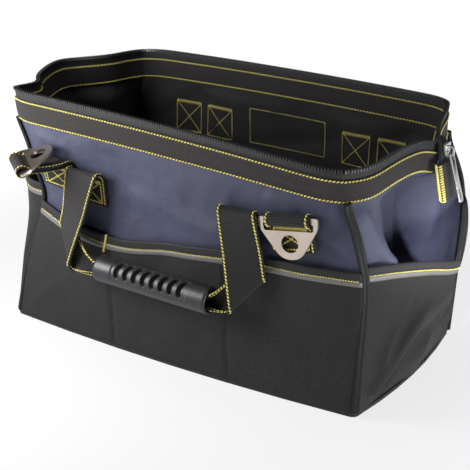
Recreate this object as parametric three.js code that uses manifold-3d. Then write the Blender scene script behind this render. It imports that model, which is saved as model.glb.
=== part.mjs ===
// Wide-mouth tool bag of blue and black cloth, standing open on its flat base.
// Millimetres, Z up, X along the length, the front faces -Y, origin at the middle of the underside.
import * as THREE from 'three';
import { mergeVertices } from 'three/addons/utils/BufferGeometryUtils.js';
import Module from 'manifold-3d';

const wasm = await Module();
wasm.setup();

// Base board
const baseLength = 400;
const baseDepth = 203;
const baseThickness = 3.5;
const baseCorner = 9;
const baseBow = 8;

// Cloth, cords and the gaps between pieces
const cloth = 2;
const seat = 0.35;
const cornerInset = 3.3;
const cordRadius = 2.7;
const cornerRound = 5;
const cornerRoundWidth = 16;
const cornerRoundFoot = 160;

// Rim band and zip, as nominal heights above the floor
const bandBottom = 213;
const bandTop = 236;
const zipTop = 242.5;
const bandProud = 1.3;
const bandSeat = 1.5;
const zipTapeThickness = 1.6;
const tipGap = 0.008;

// Pockets
const bindingHeight = 9.5;
const bindingProud = 0.8;
const reflectorHeight = 5.2;
const reflectorThickness = 0.6;
const reflectorSeat = 1.1;
const flatPocketEase = 1.8;
const flatPocketPuff = 1;
const endPocketStandoff = 2.7;
const panelSpreadFoot = 50;
const panelSpreadTop = 110;

// Webbing handles and grips
const webbing = 2.2;
const gripLength = 130;
const gripRadius = 13;
const gripBore = 10.4;
const gripHeight = 95;
const gripOut = 21;
const gripSlots = 8;
const gripSlotPitch = 9.6;
const gripSlotWidth = 4;
const gripSlotFloor = 10.9;
const gripSlotFacing = 38;

// Ring loops and rings
const loopWidth = 43;
const loopOuter = 6;
const loopInner = 3.5;
const loopStandoff = 0.9;
const loopTail = 31;
const ringThickness = 2.6;
const ringBar = 2.8;
const ringHalfWidth = 29;
const ringDrop = 36;
const ringHole = 8.2;
const ringHoleDrop = 21.5;

// Cloth walls, a row per height: the four corner seams in plan and how far each side reaches out
const sections = tableOf(
  ['height', 'frontLeftX', 'frontLeftY', 'frontRightX', 'frontRightY', 'backRightX', 'backRightY',
    'backLeftX', 'backLeftY', 'frontReach', 'backReach', 'rightReach', 'leftReach'],
  [
    [0, -197, -98.5, 197, -98.5, 197, 98.5, -197, 98.5, 8, 5, 7, 6],
    [60, -183, -96, 200, -99.5, 200, 100.5, -198, 100.5, 12, 8, 9, 10],
    [135, -161, -90, 203, -101, 203, 103, -195, 102, 15, 10, 13, 20],
    [180, -173, -97, 197, -105, 196, 107, -190, 105, 13, 8, 21, 25],
    [213, -189, -102, 189.5, -109.5, 188, 110, -184, 107, 8, 4, 30, 28],
    [243, -195, -102, 188, -113, 187, 113, -182, 108, 5, 3, 37, 32],
  ],
);

// End pockets, a row per height: how far the panel bulges out past the line between its seams
const pocketReach = tableOf(
  ['height', 'right', 'left'],
  [
    [0, 7, 6],
    [25, 17, 16],
    [60, 26, 28],
    [100, 34, 46],
    [130, 43, 60],
    [155, 47, 64],
  ],
);

// Pocket hems, a row per station from the side's first seam to its last
const hems = tableOf(
  ['along', 'front', 'right', 'back', 'left'],
  [
    [0, 131, 152, 152, 151],
    [0.16, 118.5, 147, 149, 148],
    [0.32, 119.5, 140, 146, 143],
    [0.5, 131.5, 131, 144, 140],
    [0.7, 139, 138, 146, 145],
    [0.94, 142, 149, 150, 149.5],
    [1, 142.5, 151, 151, 137],
  ],
);

// Lift of the mouth, a row per station along each side, faded out below it
const lifts = tableOf(
  ['along', 'front', 'right', 'back', 'left'],
  [
    [0, 2, -7, -3, -5],
    [0.13, 3.1, -6, -2.4, -4.1],
    [0.27, 3.5, 1, -2, -3.1],
    [0.38, 3.3, 3, -1.9, -2.3],
    [0.48, 2.7, -3, -2, -1.6],
    [0.7, -0.1, -6, -2.7, -7],
    [1, -7, -3, -5, 2],
  ],
);

// Rim of the left end, a row per station: its share of the reach, with the zip's closed tip folded forward
const leftEnd = tableOf(
  ['along', 'share'],
  [
    [0, 0],
    [0.1, 0.03],
    [0.2, 0.13],
    [0.28, 0.36],
    [0.36, 0.69],
    [0.43, 0.92],
    [0.5, 1],
    [0.6, 0.93],
    [0.67, 0.7],
    [0.74, 0.3],
    [0.87, 0.12],
    [1, 0],
  ],
);

// Folds in the cloth, a row per fold: a line on a side and how far it stands out
const wallFolds = tableOf(
  ['side', 'fromAlong', 'fromHeight', 'toAlong', 'toHeight', 'width', 'out'],
  [
    ['right', 0.32, 196, 0.34, 60, 24, -20],
    ['right', 0.68, 194, 0.66, 60, 24, -14],
    ['right', 0.04, 203, 0.21, 126, 10, 9],
    ['right', 0.5, 198, 0.49, 110, 9, 6],
    ['left', 0.72, 196, 0.7, 60, 24, -13],
    ['left', 0.28, 194, 0.31, 60, 25, -12],
    ['front', 0.34, 190, 0.44, 110, 26, -4],
    ['front', 0.76, 200, 0.86, 130, 20, 1],
    ['back', 0.3, 190, 0.24, 110, 26, -3],
    ['back', 0.68, 190, 0.74, 110, 26, -3],
  ],
);
const pocketFolds = tableOf(
  ['side', 'fromAlong', 'fromHeight', 'toAlong', 'toHeight', 'width', 'out'],
  [
    ['right', 0.06, 12, 0.46, 96, 11, 5],
    ['right', 0.24, 8, 0.52, 62, 12, -4],
    ['right', 0.94, 12, 0.58, 92, 12, 4],
    ['left', 0.06, 12, 0.42, 92, 12, 4],
    ['left', 0.94, 14, 0.6, 90, 12, 4],
  ],
);

// Sides of the bag, in order round it: corners, outward direction and the tip of the folded ends
const sides = {
  front: { from: 'frontLeft', to: 'frontRight', reach: 'frontReach', outward: new THREE.Vector3(0, -1, 0) },
  right: {
    from: 'frontRight', to: 'backRight', reach: 'rightReach', outward: new THREE.Vector3(1, 0, 0),
    tip: 0.48, firstPower: 1, lastPower: 1.9, pocketFirst: 0.95, pocketLast: 0.8,
  },
  back: { from: 'backRight', to: 'backLeft', reach: 'backReach', outward: new THREE.Vector3(0, 1, 0) },
  left: {
    from: 'backLeft', to: 'frontLeft', reach: 'leftReach', outward: new THREE.Vector3(-1, 0, 0),
    tip: 0.67, share: leftEnd, pocketFirst: 0.8, pocketLast: 0.36,
  },
};

// Half of a handle that hangs straight, from the sewn end to the middle of the grip.
// out is the distance from the wall, turn the angle of the strap's width from the length of the bag.
const straightHalf = tableOf(
  ['x', 'out', 'z', 'width', 'thickness', 'turn'],
  [
    [86, 3, 150, 38, 2.2, 0],
    [86, 3, 176, 38, 2.2, 0],
    [86, 4.2, 183.5, 38, 2.2, 0],
    [86, 9, 187, 38, 2.2, 0],
    [86.2, 14, 183.5, 38, 2.2, 0],
    [87.5, 16.5, 170, 38, 2.2, 0],
    [93, 19, 146, 38, 2.2, 2],
    [98, 21, 121, 36, 2.4, 2],
    [94, 21.5, 106, 28, 3.4, -22],
    [84, 21.4, 97, 21, 4.4, -60],
    [72, 21, 95, 18, 4.6, -86],
    [60, 21, 95, 18, 4.6, -90],
    [30, 21, 95, 18, 4.6, -90],
  ],
);

// The half that sags to its side before it turns into the grip
const saggingHalf = tableOf(
  ['x', 'out', 'z', 'width', 'thickness', 'turn'],
  [
    [85, 2.4, 150, 38, 2.2, 0],
    [85, 2.4, 176, 38, 2.2, 0],
    [85.3, 4.2, 182, 38, 2.2, 0],
    [86, 9.5, 185, 38, 2.2, 0],
    [87.5, 14.5, 181.5, 38, 2.2, 2],
    [92, 17, 169, 38, 2.2, 10],
    [101, 19.5, 143, 37, 2.2, 16],
    [107, 22.5, 118, 32, 2.6, 4],
    [104, 23.5, 104, 26, 3.6, -24],
    [95, 23, 95, 22, 4.4, -58],
    [84, 21.3, 92.5, 18, 4.6, -84],
    [72, 21.1, 94, 18, 4.6, -94],
    [60, 21, 95, 18, 4.6, -90],
    [30, 21, 95, 18, 4.6, -90],
  ],
);

// Webbing loops and their rings, a row per loop: where it is sewn on, how far it stands off the wall,
// its turn in plan, its lean on the wall, and the angle of its ring from straight down towards the outside
const loops = tableOf(
  ['name', 'side', 'x', 'z', 'arm', 'turn', 'lean', 'ringAngle'],
  [
    ['front_left', 'front', -127.5, 188, 36, 34, 0, 247],
    ['front_right', 'front', 136, 187, 0, 0, 8, 2],
    ['back_left', 'back', -136, 185, 0, 0, 0, 2],
    ['back_right', 'back', 136, 185, 0, 0, 0, 2],
  ],
);

// Materials
const blueCloth = new THREE.MeshStandardMaterial({ color: 0x31385a, roughness: 0.72, metalness: 0 });
const blackCloth = new THREE.MeshStandardMaterial({ color: 0x242428, roughness: 0.8, metalness: 0 });
const blackWebbing = new THREE.MeshStandardMaterial({ color: 0x1b1b1f, roughness: 0.85, metalness: 0 });
const greyReflector = new THREE.MeshStandardMaterial({ color: 0x8a8a88, roughness: 0.5, metalness: 0.1 });
const greyTape = new THREE.MeshStandardMaterial({ color: 0x2c2c30, roughness: 0.75, metalness: 0 });
const blackPlastic = new THREE.MeshStandardMaterial({ color: 0x17171a, roughness: 0.45, metalness: 0 });
const nickel = new THREE.MeshStandardMaterial({ color: 0xc9c4ba, roughness: 0.32, metalness: 1 });

function tableOf(columns, rows) {
  return rows.map((row) => Object.fromEntries(columns.map((name, i) => [name, row[i]])));
}

// Value of a table's column at a place along its key column, on a smooth curve through the rows
function columnAt(table, key, name, place) {
  const last = table.length - 1;
  if (place <= table[0][key]) {
    return table[0][name];
  }
  if (place >= table[last][key]) {
    return table[last][name];
  }
  let i = 0;
  while (table[i + 1][key] < place) {
    i += 1;
  }
  const slope = (a, b) => (table[b][name] - table[a][name]) / (table[b][key] - table[a][key]);
  const span = table[i + 1][key] - table[i][key];
  const f = (place - table[i][key]) / span;
  const startSlope = slope(Math.max(i - 1, 0), i + 1) * span;
  const endSlope = slope(i, Math.min(i + 2, last)) * span;
  const start = table[i][name];
  const end = table[i + 1][name];
  return (2 * f ** 3 - 3 * f ** 2 + 1) * start + (f ** 3 - 2 * f ** 2 + f) * startSlope
    + (3 * f ** 2 - 2 * f ** 3) * end + (f ** 3 - f ** 2) * endSlope;
}

const up = new THREE.Vector3(0, 0, 1);
const clamp = THREE.MathUtils.clamp;
const lerp = THREE.MathUtils.lerp;
const smoothstep = THREE.MathUtils.smoothstep;
const radians = THREE.MathUtils.degToRad;

function sectionAt(name, height) {
  return columnAt(sections, 'height', name, height);
}

function cornerAt(name, height) {
  return new THREE.Vector3(sectionAt(`${name}X`, height), sectionAt(`${name}Y`, height), height);
}

// Sum of the folds of one side at a place on it
function foldsAt(folds, side, along, height, length) {
  let sum = 0;
  for (const fold of folds.filter((row) => row.side === side)) {
    const ax = fold.fromAlong * length;
    const dx = fold.toAlong * length - ax;
    const dz = fold.toHeight - fold.fromHeight;
    const px = along * length - ax;
    const pz = height - fold.fromHeight;
    const f = clamp((px * dx + pz * dz) / (dx * dx + dz * dz), 0, 1);
    const distance = Math.hypot(px - f * dx, pz - f * dz);
    sum += fold.out * Math.exp(-((distance / fold.width) ** 2));
  }
  return sum;
}

function tent(along, tip, firstPower, lastPower) {
  return along < tip ? (along / tip) ** firstPower : ((1 - along) / (1 - tip)) ** lastPower;
}

function liftAt(side, along, height) {
  return columnAt(lifts, 'along', side, along) * smoothstep(height, 120, bandBottom);
}

// How far a wall stands out at a place along it, as a share of its side's reach
function reachShare(spec, along) {
  if (spec.share) {
    return columnAt(spec.share, 'along', 'share', along);
  }
  return spec.tip ? tent(along, spec.tip, spec.firstPower, spec.lastPower) : (4 * along * (1 - along)) ** 0.7;
}

// Inward pull that rounds a corner seam towards the mouth
function cornerPull(name, distance, height) {
  const corner = cornerAt(name, height);
  const amount = cornerRound * smoothstep(height, cornerRoundFoot, bandBottom);
  const inward = new THREE.Vector3(-Math.sign(corner.x), -1.2 * Math.sign(corner.y), 0);
  return inward.setLength(amount * Math.exp(-((distance / cornerRoundWidth) ** 2)));
}

// Outer face of a wall: along runs 0 to 1 from the side's first seam to its last
function wallPoint(side, along, height) {
  const spec = sides[side];
  const t = clamp(along, 0, 1);
  const from = cornerAt(spec.from, height);
  const to = cornerAt(spec.to, height);
  const length = from.distanceTo(to);
  const ease = smoothstep(t, 0, 0.1) * smoothstep(1 - t, 0, 0.1);
  const folds = foldsAt(wallFolds, side, t, height, length) * ease;
  const quiet = 1 - smoothstep(height, bandBottom - 14, bandBottom);
  const point = from.clone().lerp(to, t);
  point.addScaledVector(spec.outward, sectionAt(spec.reach, height) * reachShare(spec, t) + folds * quiet);
  point.add(cornerPull(spec.from, t * length, height)).add(cornerPull(spec.to, (1 - t) * length, height));
  point.z = height + liftAt(side, t, height);
  return point;
}

function hemAt(side, along) {
  return columnAt(hems, 'along', side, along);
}

// Outer face of a pocket panel
function pocketPoint(side, along, height) {
  const spec = sides[side];
  const t = clamp(along, 0, 1);
  if (!spec.tip) {
    const rise = clamp(height / hemAt(side, t), 0, 1);
    const puff = flatPocketPuff * Math.sin(3 * Math.PI * t) ** 2;
    const off = seat + 0.2 + (flatPocketEase + puff) * rise + cloth;
    return wallPoint(side, t, height).addScaledVector(normalOf(wallPoint, side, t, height), off);
  }
  const from = cornerAt(spec.from, height);
  const to = cornerAt(spec.to, height);
  const shape = tent(t, 0.5, spec.pocketFirst, spec.pocketLast);
  const ease = smoothstep(t, 0, 0.14) * smoothstep(1 - t, 0, 0.14);
  const calm = ease * smoothstep(height, 8, 50);
  const folds = foldsAt(pocketFolds, side, t, height, from.distanceTo(to)) * calm;
  const reach = columnAt(pocketReach, 'height', side, height);
  const point = from.clone().lerp(to, t);
  return point.addScaledVector(spec.outward, endPocketStandoff + reach * shape + folds);
}

// Outward direction of a surface, square to it
function normalOf(surface, side, along, height) {
  const a = surface(side, along + 0.006, height).sub(surface(side, along - 0.006, height));
  const b = surface(side, along, height + 1.5).sub(surface(side, along, height - 1.5));
  return a.cross(b).normalize();
}

// Place on a side clear of its two corner seams
function insetAlong(side, u, height) {
  const spec = sides[side];
  const length = cornerAt(spec.from, height).distanceTo(cornerAt(spec.to, height));
  return lerp(cornerInset / length, 1 - cornerInset / length, u);
}

// Place on a pocket panel: the bulging upper part of an end pocket is spread evenly out to its seams
function panelAlong(side, u, height) {
  const spec = sides[side];
  const even = insetAlong(side, u, height);
  if (!spec.tip) {
    return even;
  }
  const spread = smoothstep(height, panelSpreadFoot, panelSpreadTop);
  if (even < 0.5) {
    return 0.5 * (2 * even) ** lerp(1, 1 / spec.pocketFirst, spread);
  }
  return 1 - 0.5 * (2 * (1 - even)) ** lerp(1, 1 / spec.pocketLast, spread);
}

// One closed skin with shared corner points, turned so that its faces look outward
function closedSkin(geometry) {
  const bare = geometry.clone();
  bare.deleteAttribute('normal');
  bare.deleteAttribute('uv');
  bare.clearGroups();
  const skin = mergeVertices(bare, 1e-4);
  const position = skin.attributes.position;
  const index = Array.from(skin.index.array);
  const p = [new THREE.Vector3(), new THREE.Vector3(), new THREE.Vector3()];
  let volume = 0;
  for (let i = 0; i < index.length; i += 3) {
    p.forEach((point, k) => point.fromBufferAttribute(position, index[i + k]));
    volume += p[0].dot(p[1].clone().cross(p[2]));
  }
  if (volume < 0) {
    for (let i = 0; i < index.length; i += 3) {
      [index[i], index[i + 1]] = [index[i + 1], index[i]];
    }
    skin.setIndex(index);
  }
  skin.computeVertexNormals();
  return skin;
}

// A flat slab in cells, bent: place(u, v, w) gives the point for 0 to 1 along it, up it and through it
function bentSlab(cellsAlong, cellsUp, place) {
  const slab = new THREE.BoxGeometry(1, 1, 1, cellsAlong, cellsUp, 1);
  slab.deleteAttribute('normal');
  slab.deleteAttribute('uv');
  const geometry = mergeVertices(slab, 1e-4);
  const position = geometry.attributes.position;
  for (let i = 0; i < position.count; i += 1) {
    const point = place(position.getX(i) + 0.5, position.getY(i) + 0.5, position.getZ(i) + 0.5);
    position.setXYZ(i, point.x, point.y, point.z);
  }
  return closedSkin(geometry);
}

// Layer of cloth on a surface: heights(along) gives its lower and upper edge, inner and outer its faces
function layerOn(surface, side, cellsAlong, cellsUp, heights, inner, outer) {
  const alongOf = surface === pocketPoint ? panelAlong : insetAlong;
  return bentSlab(cellsAlong, cellsUp, (u, v, w) => {
    const edges = heights(alongOf(side, u, 100));
    const height = lerp(edges[0], edges[1], v);
    const along = alongOf(side, u, height);
    const point = surface(side, along, height);
    point.addScaledVector(normalOf(surface, side, along, height), lerp(inner, outer, w));
    point.z = Math.max(point.z, baseThickness + seat);
    return point;
  });
}

// The two runs of the mouth from tip to tip: pieces of sides and their share of the run
const mouthRuns = {
  front: [
    { side: 'left', first: sides.left.tip + tipGap, last: 1, share: 0.15 },
    { side: 'front', first: 0, last: 1, share: 0.65 },
    { side: 'right', first: 0, last: sides.right.tip - tipGap, share: 0.2 },
  ],
  back: [
    { side: 'right', first: sides.right.tip + tipGap, last: 1, share: 0.18 },
    { side: 'back', first: 0, last: 1, share: 0.58 },
    { side: 'left', first: 0, last: sides.left.tip - tipGap, share: 0.24 },
  ],
};

function runPoint(run, u, height) {
  let rest = clamp(u, 0, 1);
  for (const [i, part] of mouthRuns[run].entries()) {
    if (rest <= part.share || i === mouthRuns[run].length - 1) {
      return wallPoint(part.side, lerp(part.first, part.last, rest / part.share), height);
    }
    rest -= part.share;
  }
  return null;
}

// Mouth surface with its corners eased round
function mouthPoint(run, u, height) {
  const ease = 0.012 * smoothstep(Math.min(u, 1 - u), 0, 0.03);
  const point = runPoint(run, u, height).multiplyScalar(2);
  point.add(runPoint(run, u - ease, height)).add(runPoint(run, u + ease, height));
  return point.multiplyScalar(0.25);
}

function mouthLayer(run, cells, bottom, top, inner, outer) {
  return bentSlab(cells, 1, (u, v, w) => {
    const height = lerp(bottom, top, v);
    const point = mouthPoint(run, u, height);
    return point.addScaledVector(normalOf(mouthPoint, run, u, height), lerp(inner, outer, w));
  });
}

// Frame on a front or back wall at a given x and height: foot, outward direction and direction along it
function wallFrame(side, x, height) {
  const spec = sides[side];
  const first = sectionAt(`${spec.from}X`, height);
  const last = sectionAt(`${spec.to}X`, height);
  const along = (x - first) / (last - first);
  const foot = wallPoint(side, along, height);
  foot.z = height;
  const out = normalOf(wallPoint, side, along, height);
  out.z = 0;
  out.normalize();
  const run = new THREE.Vector3(-out.y, out.x, 0);
  return { foot, out, run };
}

// Outline of a flat plate with rounded corners: rows of x, y and corner radius
function roundedOutline(target, corners) {
  const count = corners.length;
  corners.forEach(([x, y, radius], i) => {
    const here = new THREE.Vector2(x, y);
    const towards = (corner) => new THREE.Vector2(...corner).sub(here).setLength(radius).add(here);
    const before = towards(corners[(i + count - 1) % count]);
    const after = towards(corners[(i + 1) % count]);
    if (i === 0) {
      target.moveTo(before.x, before.y);
    } else {
      target.lineTo(before.x, before.y);
    }
    target.quadraticCurveTo(x, y, after.x, after.y);
  });
  target.closePath();
  return target;
}

function toManifold(geometry) {
  const skin = closedSkin(geometry);
  const mesh = new wasm.Mesh({
    numProp: 3,
    vertProperties: Float32Array.from(skin.attributes.position.array),
    triVerts: Uint32Array.from(skin.index.array),
  });
  return new wasm.Manifold(mesh);
}

function toGeometry(manifold) {
  const mesh = manifold.getMesh();
  const geometry = new THREE.BufferGeometry();
  geometry.setAttribute('position', new THREE.BufferAttribute(Float32Array.from(mesh.vertProperties), 3));
  geometry.setIndex(Array.from(mesh.triVerts));
  geometry.computeVertexNormals();
  return geometry;
}

const bag = new THREE.Group();
bag.name = 'tool_bag';

function addPiece(name, geometry, material) {
  const mesh = new THREE.Mesh(geometry, material);
  mesh.name = name;
  bag.add(mesh);
  return mesh;
}

// Base, its edges bowed out a little between the corners
const baseOutline = new THREE.Shape();
const halfLength = baseLength / 2;
const halfDepth = baseDepth / 2;
baseOutline.moveTo(-halfLength + baseCorner, -halfDepth);
baseOutline.quadraticCurveTo(0, -halfDepth - 2 * baseBow, halfLength - baseCorner, -halfDepth);
baseOutline.quadraticCurveTo(halfLength, -halfDepth, halfLength, -halfDepth + baseCorner);
baseOutline.quadraticCurveTo(halfLength + 2 * baseBow, 0, halfLength, halfDepth - baseCorner);
baseOutline.quadraticCurveTo(halfLength, halfDepth, halfLength - baseCorner, halfDepth);
baseOutline.quadraticCurveTo(0, halfDepth + 2 * baseBow, -halfLength + baseCorner, halfDepth);
baseOutline.quadraticCurveTo(-halfLength, halfDepth, -halfLength, halfDepth - baseCorner);
baseOutline.quadraticCurveTo(-halfLength - 2 * baseBow, 0, -halfLength, -halfDepth + baseCorner);
baseOutline.quadraticCurveTo(-halfLength, -halfDepth, -halfLength + baseCorner, -halfDepth);
const basePlate = new THREE.ExtrudeGeometry(baseOutline, {
  depth: baseThickness, bevelEnabled: false, curveSegments: 6,
});
addPiece('base_panel', closedSkin(basePlate), blackCloth);

// Walls, pockets, hems and reflective strips of the four sides
const wallFoot = baseThickness + seat;
const sideNames = { front: 'front', right: 'right_end', back: 'back', left: 'left_end' };
for (const [side, name] of Object.entries(sideNames)) {
  const flat = !sides[side].tip;
  const wallHeights = () => [wallFoot, bandBottom - bandSeat];
  addPiece(`${name}_wall`, layerOn(wallPoint, side, flat ? 18 : 22, 8, wallHeights, -cloth, 0), blueCloth);
  const pocketHeights = (along) => [wallFoot, hemAt(side, along) - bindingHeight - seat];
  const pocket = layerOn(pocketPoint, side, 18, flat ? 5 : 7, pocketHeights, -cloth, 0);
  addPiece(`${name}_pocket`, pocket, blackCloth);
  const bindingHeights = (along) => [hemAt(side, along) - bindingHeight, hemAt(side, along)];
  const binding = layerOn(pocketPoint, side, 18, 1, bindingHeights, -cloth - 0.4, bindingProud);
  addPiece(`${name}_binding`, binding, blackWebbing);
  const stripTop = bindingHeight + 1.4;
  const stripHeights = (along) => [
    hemAt(side, along) - stripTop - reflectorHeight, hemAt(side, along) - stripTop,
  ];
  const stripFace = reflectorSeat + reflectorThickness;
  const strip = layerOn(pocketPoint, side, 18, 1, stripHeights, reflectorSeat, stripFace);
  addPiece(`${name}_reflector`, strip, greyReflector);
}

// Corded corner seams
const cords = tableOf(
  ['name', 'corner', 'side'],
  [
    ['front_left', 'frontLeft', 'left'],
    ['front_right', 'frontRight', 'front'],
    ['back_right', 'backRight', 'right'],
    ['back_left', 'backLeft', 'back'],
  ],
);
for (const { name, corner, side } of cords) {
  const points = [4.1, 30, 60, 95, 125, 150, 180, bandBottom - 1].map((height) => {
    const point = cornerAt(corner, height);
    const centre = new THREE.Vector3(0, 0, height);
    const off = lerp(1.6, 0.4, smoothstep(height, 140, 160));
    point.addScaledVector(point.clone().sub(centre).normalize(), off);
    point.add(cornerPull(corner, 0, height));
    point.z += liftAt(side, 1, height);
    return point;
  });
  const section = new THREE.Shape();
  section.absarc(0, 0, cordRadius, 0, 2 * Math.PI);
  const cord = new THREE.ExtrudeGeometry(section, {
    steps: 12, curveSegments: 3, bevelEnabled: false, extrudePath: new THREE.CatmullRomCurve3(points),
  });
  addPiece(`corner_cord_${name}`, closedSkin(cord), blackWebbing);
}

// Webbing band round the mouth, and the zip tape standing on it
for (const run of ['front', 'back']) {
  const band = mouthLayer(run, 30, bandBottom, bandTop, -cloth - bandProud, bandProud);
  addPiece(`rim_band_${run}`, band, blackWebbing);
  const middle = -cloth / 2;
  const half = zipTapeThickness / 2;
  const tape = mouthLayer(run, 30, bandTop + seat, zipTop, middle - half, middle + half);
  addPiece(`zip_tape_${run}`, tape, greyTape);
}

// Handles: a strap swept through the stations of its two halves
function handleStrap(side, leftHalf, rightHalf) {
  const facing = side === 'front' ? 1 : -1;
  const left = leftHalf.map((row) => ({ ...row, x: -row.x, turn: -row.turn }));
  const right = rightHalf.map((row) => ({ ...row, turn: row.turn + 180 })).reverse();
  const stations = [...left, ...right].map((row, i) => ({ ...row, station: i }));
  const at = (name, s) => columnAt(stations, 'station', name, s);
  const centre = (s) => {
    const frame = wallFrame(side, at('x', s), at('z', s));
    return frame.foot.addScaledVector(frame.out, at('out', s));
  };
  const steps = 46;
  const span = stations.length - 1;
  return bentSlab(steps, 1, (u, v, w) => {
    const s = u * span;
    const frame = wallFrame(side, at('x', s), at('z', s));
    const turn = radians(at('turn', s));
    const across = frame.run.clone().multiplyScalar(Math.cos(turn) * facing);
    across.z = Math.sin(turn);
    const forward = centre(Math.min(s + 0.08, span)).sub(centre(Math.max(s - 0.08, 0)));
    const through = forward.cross(across).normalize();
    const point = centre(s).addScaledVector(across, (v - 0.5) * at('width', s));
    return point.addScaledVector(through, (w - 0.5) * at('thickness', s));
  });
}
addPiece('front_handle_strap', handleStrap('front', saggingHalf, straightHalf), blackWebbing);
addPiece('back_handle_strap', handleStrap('back', straightHalf, straightHalf), blackWebbing);

// Grips: slotted tubes round the middle of the straps
function grip(side) {
  const half = gripLength / 2;
  const profile = [
    [gripBore, -half], [gripRadius - 1.6, -half], [gripRadius, -half + 2.2], [gripRadius, half - 2.2],
    [gripRadius - 1.6, half], [gripBore, half], [gripBore, -half],
  ].map(([x, y]) => new THREE.Vector2(x, y));
  let body = toManifold(new THREE.LatheGeometry(profile, 20));
  for (let i = 0; i < gripSlots; i += 1) {
    const cutter = new THREE.BoxGeometry(10, gripSlotWidth, 40);
    const y = (i - (gripSlots - 1) / 2) * gripSlotPitch;
    cutter.translate(gripSlotFloor + 5, y, 0);
    body = body.subtract(toManifold(cutter));
  }
  const geometry = toGeometry(body);
  const first = wallFrame(side, -half, gripHeight).foot;
  const last = wallFrame(side, half, gripHeight).foot;
  const tubeAxis = last.clone().sub(first).normalize();
  const out = tubeAxis.clone().cross(up).multiplyScalar(side === 'front' ? 1 : -1);
  const place = first.lerp(last, 0.5).addScaledVector(out, gripOut);
  const facing = radians(gripSlotFacing);
  const slotAxis = out.clone().multiplyScalar(Math.cos(facing)).addScaledVector(up, Math.sin(facing));
  const matrix = new THREE.Matrix4().makeBasis(slotAxis, tubeAxis, slotAxis.clone().cross(tubeAxis));
  geometry.applyMatrix4(matrix.setPosition(place));
  return geometry;
}
addPiece('front_grip', grip('front'), blackPlastic);
addPiece('back_grip', grip('back'), blackPlastic);

// Webbing loop in side view: the sewn tail, an arm where it stands off, and the roll round the bar
function loopSection(arm) {
  const back = loopStandoff;
  const front = loopStandoff + 2 * webbing;
  const shape = new THREE.Shape();
  const centre = new THREE.Vector2(back + loopOuter + arm, 0);
  shape.moveTo(back, -loopTail);
  shape.lineTo(back, -loopTail * 0.67);
  shape.lineTo(back, -loopTail * 0.34);
  if (arm > 0) {
    shape.lineTo(back, -webbing * 2);
    shape.quadraticCurveTo(back, webbing, back + 5, webbing);
    for (let o = back + 8; o < centre.x - 8; o += 4) {
      shape.lineTo(o, webbing);
    }
    shape.absarc(centre.x, 0, loopOuter, radians(158), radians(-158), true);
    for (let o = centre.x - 9; o > front + 6; o -= 4) {
      shape.lineTo(o, -webbing);
    }
    shape.lineTo(front + 6, -webbing);
    shape.quadraticCurveTo(front, -webbing, front, -webbing * 4);
  } else {
    shape.lineTo(back, 0);
    shape.absarc(centre.x, 0, loopOuter, Math.PI, -Math.acos((front - centre.x) / loopOuter), true);
  }
  shape.lineTo(front, -loopTail * 0.34);
  shape.lineTo(front, -loopTail * 0.67);
  shape.lineTo(front, -loopTail);
  shape.closePath();
  const eye = new THREE.Path();
  eye.absarc(centre.x, 0, loopInner, 0, 2 * Math.PI);
  shape.holes.push(eye);
  return { shape, centre };
}

// Triangular ring: the bar at the top edge, a slot under it for the webbing, and a round hole
function ringPlate() {
  const w = ringHalfWidth;
  const shape = roundedOutline(new THREE.Shape(), [
    [-w, ringBar, 2.4], [-w + 0.6, -7, 4], [-9, -ringDrop, 9],
    [9, -ringDrop, 9], [w - 0.6, -7, 4], [w, ringBar, 2.4],
  ]);
  const slot = roundedOutline(new THREE.Path(), [
    [-w + 4.6, -ringBar, 1.4], [w - 4.6, -ringBar, 1.4], [w - 5.4, -9.6, 1.8], [-w + 5.4, -9.6, 1.8],
  ]);
  const hole = new THREE.Path();
  hole.absarc(0, -ringHoleDrop, ringHole, 0, 2 * Math.PI);
  shape.holes.push(slot, hole);
  const plate = new THREE.ExtrudeGeometry(shape, {
    depth: ringThickness, bevelEnabled: false, curveSegments: 4,
  });
  return plate.translate(0, 0, -ringThickness / 2);
}

// Place in plan, from a loop's foot, of a point so far out on its bending line and so far to its side
function bentOut(frame, turn, out, aside) {
  const point = new THREE.Vector3();
  const heading = frame.out.clone();
  const steps = 24;
  for (let i = 0; i < steps; i += 1) {
    const angle = -radians(turn) * smoothstep(((i + 0.5) / steps) * out, 6, 24);
    heading.copy(frame.out).applyAxisAngle(up, angle);
    point.addScaledVector(heading, out / steps);
  }
  heading.copy(frame.out).applyAxisAngle(up, -radians(turn) * smoothstep(out, 6, 24));
  const run = new THREE.Vector3(-heading.y, heading.x, 0);
  return { point: point.addScaledVector(run, aside), heading, run };
}

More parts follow.
